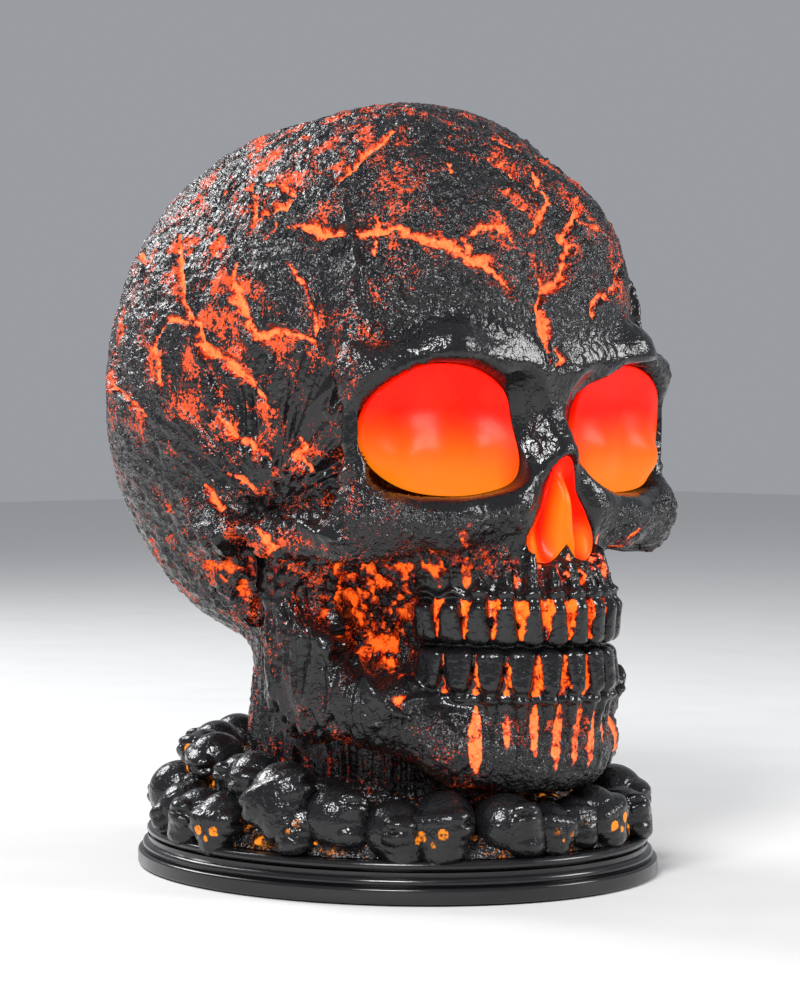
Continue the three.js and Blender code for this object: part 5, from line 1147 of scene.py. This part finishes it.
def rim_depths(head, to_place, outline, turn):
    """How far the skin stands out of a lens's plane at each place of its rim, smoothed round it"""
    edge = edge_at(turn, outline) + RIM_OUTSIDE
    u, v, inside = edge * np.cos(turn), edge * np.sin(turn), 20
    start = to_place(np.stack([u, v, np.full(len(u), -inside)], axis=1)).astype(np.float32)
    way = (to_place(np.stack([u, v, np.full(len(u), 1 - inside)], axis=1)) - start).astype(np.float32)
    rim = np.clip(cast(head.bare, start, way, 2 * inside, 0.5, 6) - inside, -1, 4.5)
    weight = np.exp(-0.5 * (np.arange(-12, 13) / 5) ** 2)
    return np.convolve(np.pad(rim, 12, mode="wrap"), weight / weight.sum(), "valid")


def lens_piece(node, outline, to_place, depth, glow_level, rim, mirrored):
    """A lens on a grid that goes round, from its rim to its middle and back over its edge"""
    columns = len(rim)
    turn = turns(columns)
    edge = edge_at(turn, outline) - LENS_GAP
    shares = np.concatenate([[0.9, 1.0], np.linspace(1.0, 0.02, LENS_RINGS)])[:, None]
    back = np.concatenate([[2.5, 2.5], np.zeros(LENS_RINGS)])[:, None]
    u, v = shares * edge * np.cos(turn), shares * edge * np.sin(turn)
    square = shares**2
    w = depth(u, v, shares) - back + rim * square + rim.mean() * (1 - square) - LENS_GAP
    flat = np.stack([u, v, w], axis=2).reshape(-1, 3)
    flat = np.concatenate([flat, flat[-columns:].mean(axis=0)[None]])
    # Painted light of the LEDs: how bright the lens glows at each point
    warm = glow_level(flat)
    paint = np.stack([warm, warm, warm, np.ones(len(warm))], axis=1)
    faces, uv = capped_faces(len(shares), columns)
    if mirrored:
        faces, uv = ([part[:, ::-1] for part in parts] for parts in (faces, uv))
    material = bpy.data.materials.get("lens_lit") or lens_finish()
    obj = new_piece(node + "_lit", to_place(flat), faces, uv, material, paint)
    piece_done(obj, "lens", node)


class SKULLLAMP_OT_lenses(bpy.types.Operator):
    """Makes the lit lenses of both eyes and of the nose"""

    bl_idname = "skull_lamp.lenses"
    bl_label = "Lenses"

    def execute(self, context):
        head = Head(sizes())
        eye, nose = head.place(ORBIT_PLACE_shares), head.nose_place()
        c, s = math.cos(EYE_TURN), math.sin(EYE_TURN)

        # Painted light: the glow is brightest at the bottom, near the LEDs, and dims towards the top and
        # the nose
        def eye_painted_light(flat):
            x, y = flat[:, 0] / head.eye_size[0], flat[:, 1] / head.eye_size[1]
            return ramp(-y - 0.06 * x, -0.35, 0.85) * (1 - 0.5 * ramp(x, 0.6, 1))

        def eye_form(u, v, share):
            return eye_depth(u, v, share, head.eye_size)

        def eye_place(side):
            def to_place(flat):
                u, v, w = flat.T
                x, y = eye[0] - u * c + w * s, eye[1] - u * s - w * c
                return np.stack([side * x, y, eye[2] + v], axis=1)

            return to_place

        def nose_place(flat):
            u, v, w = flat.T
            return np.stack([u, nose[1] - w, nose[2] + v], axis=1)

        def nose_form(u, v, share):
            return nose_depth(u, v, share, head.nose_size)

        # Painted light: the pear and the side lobes glow bright, and the bowl round them glows dim red
        def nose_painted_light(flat):
            x, y = flat[:, 0] / head.nose_size[0], flat[:, 1] / head.nose_size[1]
            pear = np.exp(-((x / pear_width(y)) ** 4) - ((y + 0.08) / 0.4) ** 4)
            lobe = np.exp(-(((np.abs(x) - 0.8) / 0.2) ** 2) - ((y + 0.26) / 0.16) ** 2)
            return np.clip(1.3 * pear + 0.9 * lobe, 0, 1.2)

        turn = turns(LENS_COLUMNS)
        rim = rim_depths(head, eye_place(1), head.eye_outline, turn)
        for side, node in ((-1, "eye_lens_right"), (1, "eye_lens_left")):
            lens_piece(node, head.eye_outline, eye_place(side), eye_form, eye_painted_light, rim, side < 0)
        rim = 0.7 * rim_depths(head, nose_place, head.nose_outline, turn)
        lens_piece("nose_lens", head.nose_outline, nose_place, nose_form, nose_painted_light, rim, True)
        return {"FINISHED"}


# The pile of small skulls
def small_skull_field(points):
    """Distance to a small skull of half width 1"""
    points = folded(points)
    field = np.inf
    for middle, radii, blend in SMALL_BLOB_shares:
        field = smooth_least(field, small_blob(points, middle, radii), blend)
    for middle, radii, blend in SMALL_HOLLOW_shares:
        field = cut(field, small_blob(points, middle, radii), blend)
    grooves = np.abs(np.sin(points[:, 0] * 19))
    return field + 0.035 * (
        grooves * ramp(-points[:, 1], 0.82, 0.95) * ramp(-np.abs(points[:, 2] + 0.78), -0.2, -0.1)
    )


def small_blob(points, middle, radii):
    return blob_distance(points, np.array(middle, np.float32), np.array(radii, np.float32))


def ball(columns, rows):
    """Points of a ball of radius 1 on a grid, from the top down"""
    turn = turns(columns)
    fall = ((np.arange(rows) + 0.5) / rows * np.pi)[:, None]
    across = np.sin(fall)
    return np.stack([across * np.cos(turn), across * np.sin(turn), np.cos(fall) + 0 * turn], axis=2)


def small_skull_form(columns, rows):
    """A small skull of half width 1, as a grid from its crown down, and the share of painted socket glow at
    each point
    """
    way = ball(columns, rows).reshape(-1, 3).astype(np.float32)
    start = np.tile(np.array([[0, -0.1, -0.05]], np.float32), (len(way), 1))
    reach = cast(small_skull_field, start, way, 1.9, 0.03, 6)
    points = start + way * reach[:, None]
    # Painted light: the eye sockets glow
    socket_glow = np.zeros(len(points))
    for middle, radii, _ in SMALL_HOLLOW_shares[:2]:
        scaled = [(points * [side, 1, 1] - middle) / radii for side in (1, -1)]
        near = np.minimum(*((part * part).sum(axis=1) for part in scaled))
        socket_glow = np.maximum(socket_glow, ramp(-near, -1.25, -0.85))
    return points.reshape(rows, columns, 3), socket_glow


def chip_places(ground, rng):
    """Places of the bone chips between the small skulls, on the ground"""
    rows, columns = ground.shape[:2]
    for _ in range(CHIPS):
        yield ground[rng.integers(rows // 5, rows - 4), rng.integers(columns)]


def deck(s):
    """Half width, half length and middle of the plinth"""
    return millimetres(s.plinth_width) / 2, millimetres(s.plinth_length) / 2, millimetres(s.plinth_middle)


def crest_height(turn, s):
    """Height of the pile against the neck, highest at the back"""
    back = (1 + np.sin(turn)) / 2
    waves = np.sin(5 * turn + 1) + np.sin(3 * turn)
    return millimetres(s.plinth_top) + millimetres(s.small_skull) * (1.65 + 1.75 * back + 0.11 * waves)


def oval(turn, margin, half_x, half_y, middle):
    """Places on an ellipse, moved out by a margin"""
    out = np.stack([np.cos(turn) * half_y, np.sin(turn) * half_x], axis=-1)
    out /= np.linalg.norm(out, axis=-1, keepdims=True)
    x = np.cos(turn) * half_x + out[..., 0] * margin
    y = middle + np.sin(turn) * half_y + out[..., 1] * margin
    return np.stack([x, y], axis=-1)


def mound_grid(s):
    """The pile's ground, from the deck's edge up to the neck"""
    small, foot = millimetres(s.small_skull), millimetres(s.plinth_top) + DECK_GAP
    neck = np.array([NECK_shares[0] * s.head_width, NECK_shares[1] * s.head_length]) / 2 / MM
    turn = turns(MOUND_COLUMNS)
    crest = crest_height(turn, s)
    lip = oval(turn, -7 + 0.14 * small * np.sin(9 * turn), *deck(s))
    inner = oval(turn, -3, *neck, millimetres(s.plinth_middle))
    low = foot + small * (1.4 + 0.2 * np.sin(7 * turn + 2))
    stops = (
        (0, foot + 0 * turn), (0.0, foot + 0.5 * small + 0 * turn), (0.3, low),
        (0.65, MOUND_FOOT + (crest - MOUND_FOOT) * 0.86), (1, crest),
    )
    at = np.linspace(0, len(stops) - 1, MOUND_ROWS)
    shares = np.interp(at, range(len(stops)), [share for share, _ in stops])
    levels = np.array([level for _, level in stops]).T
    heights = np.stack([np.interp(at, range(len(stops)), level) for level in levels], axis=1)
    flat = lip[None] + (inner - lip)[None] * shares[:, None, None]
    return np.concatenate([flat, heights[:, :, None]], axis=2)


def pile_places(s):
    """Every small skull: middle, size and heading"""
    small, foot = millimetres(s.small_skull), millimetres(s.plinth_top) + DECK_GAP
    middle = [0, millimetres(s.plinth_middle)]
    for turn, out, height, size, heading in SMALL_SKULL_shares:
        x, y = (oval(np.radians(turn), 0, *deck(s)) - middle) * out + middle
        yield (x, y, foot + small * height), small * size, heading


def mound_part(s):
    """Grid and paint of the ground with its lumps, which glows in its dips"""
    ground = mound_grid(s)
    normal = -grid_normals(ground)
    flat = ground.reshape(-1, 3)
    lumps = 2.2 * np.abs(noise(flat, 7, 51)) + 1.3 * np.abs(noise(flat, 3.4, 52))
    lumps = lumps + 0.5 * noise(flat, 1.6, 53)
    soft = np.minimum(1, np.arange(MOUND_ROWS) / 6)[:, None, None]
    moved = ground + normal * (1.9 - lumps).reshape(ground.shape[:2])[:, :, None] * soft
    dip = np.einsum("rck,rck->rc", blurred(moved, 3) - moved, normal)
    return moved, (1.1 * ramp(dip, 0.1, 0.75).ravel(), 0.6, 0.3)


def pile_parts(s):
    """Grid and paint of the ground, of every small skull and of every chip"""
    ground = mound_part(s)
    yield ground
    form, socket_glow = small_skull_form(*SMALL_SKULL_GRID)
    rng = np.random.default_rng(PILE_SEED)
    for middle, size, heading in pile_places(s):
        turn, nod, lean = math.radians(heading + 90), rng.normal(0, 0.2), rng.normal(0, 0.22)
        # Painted light: each skull's sockets glow amber, some more than others
        yield turned(form * size, turn, nod, lean) + middle, (socket_glow * rng.uniform(0.2, 1), 0.03, 0.9)
    chip = ball(*CHIP_GRID)
    for spot in chip_places(ground[0], rng):
        size = rng.uniform(1.4, 2.9) * np.array([1, rng.uniform(0.6, 1), rng.uniform(0.5, 0.9)])
        grid = turned(chip * size, rng.uniform(0, 6.3), rng.normal(0, 0.5), rng.normal(0, 0.5))
        yield grid + spot, (0, 0.2, 0.6)


def joined(parts):
    """Points, faces, map and paint of parts, each on its own tile of the map; balls run top down"""
    points, faces, uv, paint = [], [], [], []
    tiles = math.ceil(math.sqrt(len(parts)))
    total = 0
    for i, (grid, (glow, fleck, smooth)) in enumerate(parts):
        rows, columns = grid.shape[:2]
        order = -1 if i else 1
        quads, places = grid_faces(rows, columns)
        faces.append(quads[:, ::order] + total)
        uv.append((places[:, ::order] * 0.98 + 0.01 + [i % tiles, i // tiles]) / tiles)
        points.append(grid.reshape(-1, 3))
        count = rows * columns
        paint.append(np.stack([v + np.zeros(count) for v in (glow, fleck, smooth, 1)], axis=1))
        total += count
    return np.concatenate(points), faces, uv, np.concatenate(paint)


class SKULLLAMP_OT_pile(bpy.types.Operator):
    """Makes the pile of small skulls round the neck"""

    bl_idname = "skull_lamp.pile"
    bl_label = "Pile of skulls"

    def execute(self, context):
        amber = colours().amber
        points, faces, uv, paint = joined(list(pile_parts(sizes())))
        material = skin_finish("pile", amber, amber, tuple(v * 0.3 for v in amber), PILE_GLOW)
        obj = new_piece("skull_pile_skin", points, faces, uv, material, paint)
        piece_done(obj, "shell", "skull_pile")
        return {"FINISHED"}


def spin(angle, first, second):
    """Matrix that turns the first axis towards the second"""
    matrix = np.eye(3)
    matrix[[first, second], [first, second]] = math.cos(angle)
    matrix[second, first] = math.sin(angle)
    matrix[first, second] = -math.sin(angle)
    return matrix


def turned(grid, heading, nod, lean):
    return grid @ (spin(heading, 0, 1) @ spin(lean, 2, 0) @ spin(nod, 1, 2)).T


def plinth_profile(s):
    """Margin and height of the plinth's section, from its inner foot round to its deck"""
    top = millimetres(s.plinth_top)
    wall, lift, band, step, bead, groove = 3.0, 0.5, 4.5, 1.4, 1.3, 3.4
    low, high = lift + band + bead, top - bead

    def rounding(centre, across, radius, start, end, steps=8):
        turn = np.radians(np.linspace(start, end, steps))
        return [(across + radius * math.cos(a), centre + radius * math.sin(a)) for a in turn]

    return [
        (-wall, top - 3), (-wall, lift),
        *rounding(lift + 0.6, -0.6, 0.6, -90, 0, 5),
        *rounding(lift + band - 0.8, -0.8, 0.8, 0, 90, 6),
        (-step - 0.2, lift + band + 0.05),
        *rounding(low, -step - bead, bead, -80, 80),
        (-groove - 0.6 * bead, (low + high) / 2 - 0.35), (-groove - bead, (low + high) / 2),
        (-groove - 0.8 * bead, (low + high) / 2 + 0.35),
        *rounding(high, -step - 2 * bead, bead, -80, 90),
        (-step - 4 * bead, top),
    ]


class SKULLLAMP_OT_plinth(bpy.types.Operator):
    """Makes the plinth's mouldings with fine curves, and its gloss paint"""

    bl_idname = "skull_lamp.plinth"
    bl_label = "Plinth"

    def execute(self, context):
        s = sizes()
        profile = np.array(plinth_profile(s))
        turn = turns(PLINTH_COLUMNS)
        rings = np.array([oval(turn, margin, *deck(s)) for margin, _ in profile])
        heights = np.repeat(profile[:, 1:2], len(turn), axis=1)
        grid = np.concatenate([rings, heights[:, :, None]], axis=2)
        middle = [[0, millimetres(s.plinth_middle), profile[-1, 1]]]
        points = np.concatenate([grid.reshape(-1, 3), middle])
        material = moulded_finish("plinth_gloss", colours().plinth, 0.1, 0.28, 1.2, 0.03)
        obj = new_piece("plinth_mouldings", points, *capped_faces(*grid.shape[:2]), material)
        piece_done(obj, "plinth", "plinth")
        return {"FINISHED"}


def give(node, material):
    """Puts a finish on a CAD node"""
    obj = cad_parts[node]
    obj.data.materials.clear()
    obj.data.materials.append(material)


class SKULLLAMP_OT_inside(bpy.types.Operator):
    """Gives the bottom plate, its screws and feet and everything inside their finishes"""

    bl_idname = "skull_lamp.inside"
    bl_label = "Inside and underside"

    def execute(self, context):
        c = colours()
        plate = moulded_finish("plate", c.plate, 0.4, 0.65, 0.7, 0.06)
        steel = metal_finish("steel", (0.6, 0.6, 0.61), 0.2, 0.42)
        rubber = moulded_finish("rubber", (0.016, 0.016, 0.016), 0.75, 0.95, 0.5, 0.05)
        board = moulded_finish("board", (0.02, 0.11, 0.045), 0.3, 0.5, 1.5, 0.02)
        post = moulded_finish("post", (0.7, 0.69, 0.66), 0.4, 0.6, 0.9, 0.03)
        cell = moulded_finish("cell", (0.05, 0.05, 0.06), 0.25, 0.45, 2.0, 0.02)
        red = moulded_finish("wire_red", (0.35, 0.012, 0.008), 0.35, 0.5, 1.0, 0.02)
        black = moulded_finish("wire_black", (0.012, 0.012, 0.012), 0.35, 0.5, 1.0, 0.02)
        led = lit_finish("led", (1.0, 0.12, 0.02), LED_GLOW)
        groups = (
            (plate, ("bottom_plate", "battery_door", "switch_body", "switch_slider")),
            (steel, ("door_screw", "plate_contact", "spring_contact", "plate_screw", "neck_screw")),
            (rubber, ("foot",)),
            (board, ("circuit_board", "led_board")),
            (post, ("lamp_post",)),
            (cell, ("battery_1", "battery_2", "battery_3")),
            (red, ("supply_wire_red",)),
            (black, ("supply_wire_black",)),
            (led, ("led_1", "led_2", "led_3")),
        )
        for material, starts in groups:
            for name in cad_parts:
                if name in starts or name.rsplit("_", 1)[0] in starts:
                    give(name, material)
        return {"FINISHED"}


class SKULLLAMP_OT_stage(bpy.types.Operator):
    """Makes the pale floor, the soft studio light and the camera"""

    bl_idname = "skull_lamp.stage"
    bl_label = "Stage"

    def execute(self, context):
        scene = context.scene
        bpy.ops.mesh.primitive_plane_add(size=6)
        floor = context.object
        floor.name = "floor"
        t = Finish("floor")
        t.set(base_color=colours().floor, roughness=t.span(t.noise(40), 0.3, 0.7, 0.6, 0.75))
        floor.data.materials.append(t.material)
        scene.world = bpy.data.worlds.new("studio")
        scene.world.use_nodes = True
        background = scene.world.node_tree.nodes["Background"]
        background.inputs["Color"].default_value = (0.9, 0.93, 1, 1)
        background.inputs["Strength"].default_value = 0.36
        add_light("key", (-0.95, -0.55, 0.95), 18, 0.4)
        add_light("fill", (0.75, -0.95, 0.6), 9, 0.45)
        add_light("back", (-0.2, 1.0, 0.8), 10, 0.5)
        add_camera(scene, sizes())
        scene.view_settings.view_transform = "Standard"
        return {"FINISHED"}


def add_light(name, spot, power, width):
    light = bpy.data.lights.new(name, "AREA")
    light.energy = power
    light.size = width
    obj = bpy.data.objects.new(name, light)
    bpy.context.scene.collection.objects.link(obj)
    obj.location = spot
    obj.rotation_euler = (Vector((0, 0, 0.11)) - Vector(spot)).to_track_quat("-Z", "Y").to_euler()


def add_camera(scene, s):
    """The photo's camera: level with the eyes' lower edge, a pace away, to the skull's right"""
    turn = math.radians(-41)
    distance, height, aim, pixel, rows = 0.9, 0.138, 0.1107, 0.000302, 997
    across = Vector((math.cos(turn), math.sin(turn), 0))
    back = Vector((math.sin(turn), -math.cos(turn), 0))
    target = Vector((0, s.plinth_middle, aim)) + across * 0.0015
    camera = bpy.data.cameras.new("camera")
    camera.sensor_width = 36
    camera.lens = 36 * distance / (rows * pixel)
    obj = bpy.data.objects.new("camera", camera)
    scene.collection.objects.link(obj)
    spot = target + back * distance
    spot.z = height
    obj.location = spot
    obj.rotation_euler = (target - spot).to_track_quat("-Z", "Y").to_euler()
    scene.camera = obj


class SKULLLAMP_PT_panel(bpy.types.Panel):
    """Lists the steps that build the lamp"""

    bl_label = "Skull lamp"
    bl_idname = "SKULLLAMP_PT_panel"
    bl_space_type = "VIEW_3D"
    bl_region_type = "UI"
    bl_category = "Skull lamp"

    def draw(self, context):
        for operator in OPERATORS:
            self.layout.operator(operator.bl_idname)
        for group in (context.scene.skull_lamp_sizes, context.scene.skull_lamp_colours):
            for name in group.bl_rna.properties.keys():
                if name not in ("rna_type", "name"):
                    self.layout.prop(group, name)


OPERATORS = (
    SKULLLAMP_OT_skin,
    SKULLLAMP_OT_lenses,
    SKULLLAMP_OT_pile,
    SKULLLAMP_OT_plinth,
    SKULLLAMP_OT_inside,
    SKULLLAMP_OT_stage,
)
CLASSES = (SkullLampSizes, SkullLampColours, *OPERATORS, SKULLLAMP_PT_panel)


def register():
    for cls in CLASSES:
        bpy.utils.register_class(cls)
    bpy.types.Scene.skull_lamp_sizes = PointerProperty(type=SkullLampSizes)
    bpy.types.Scene.skull_lamp_colours = PointerProperty(type=SkullLampColours)


def unregister():
    del bpy.types.Scene.skull_lamp_colours
    del bpy.types.Scene.skull_lamp_sizes
    for cls in reversed(CLASSES):
        bpy.utils.unregister_class(cls)


def main():
    register()
    bpy.ops.skull_lamp.skin()
    bpy.ops.skull_lamp.lenses()
    bpy.ops.skull_lamp.pile()
    bpy.ops.skull_lamp.plinth()
    bpy.ops.skull_lamp.inside()
    bpy.ops.skull_lamp.stage()


if __name__ == "__main__":
    main()
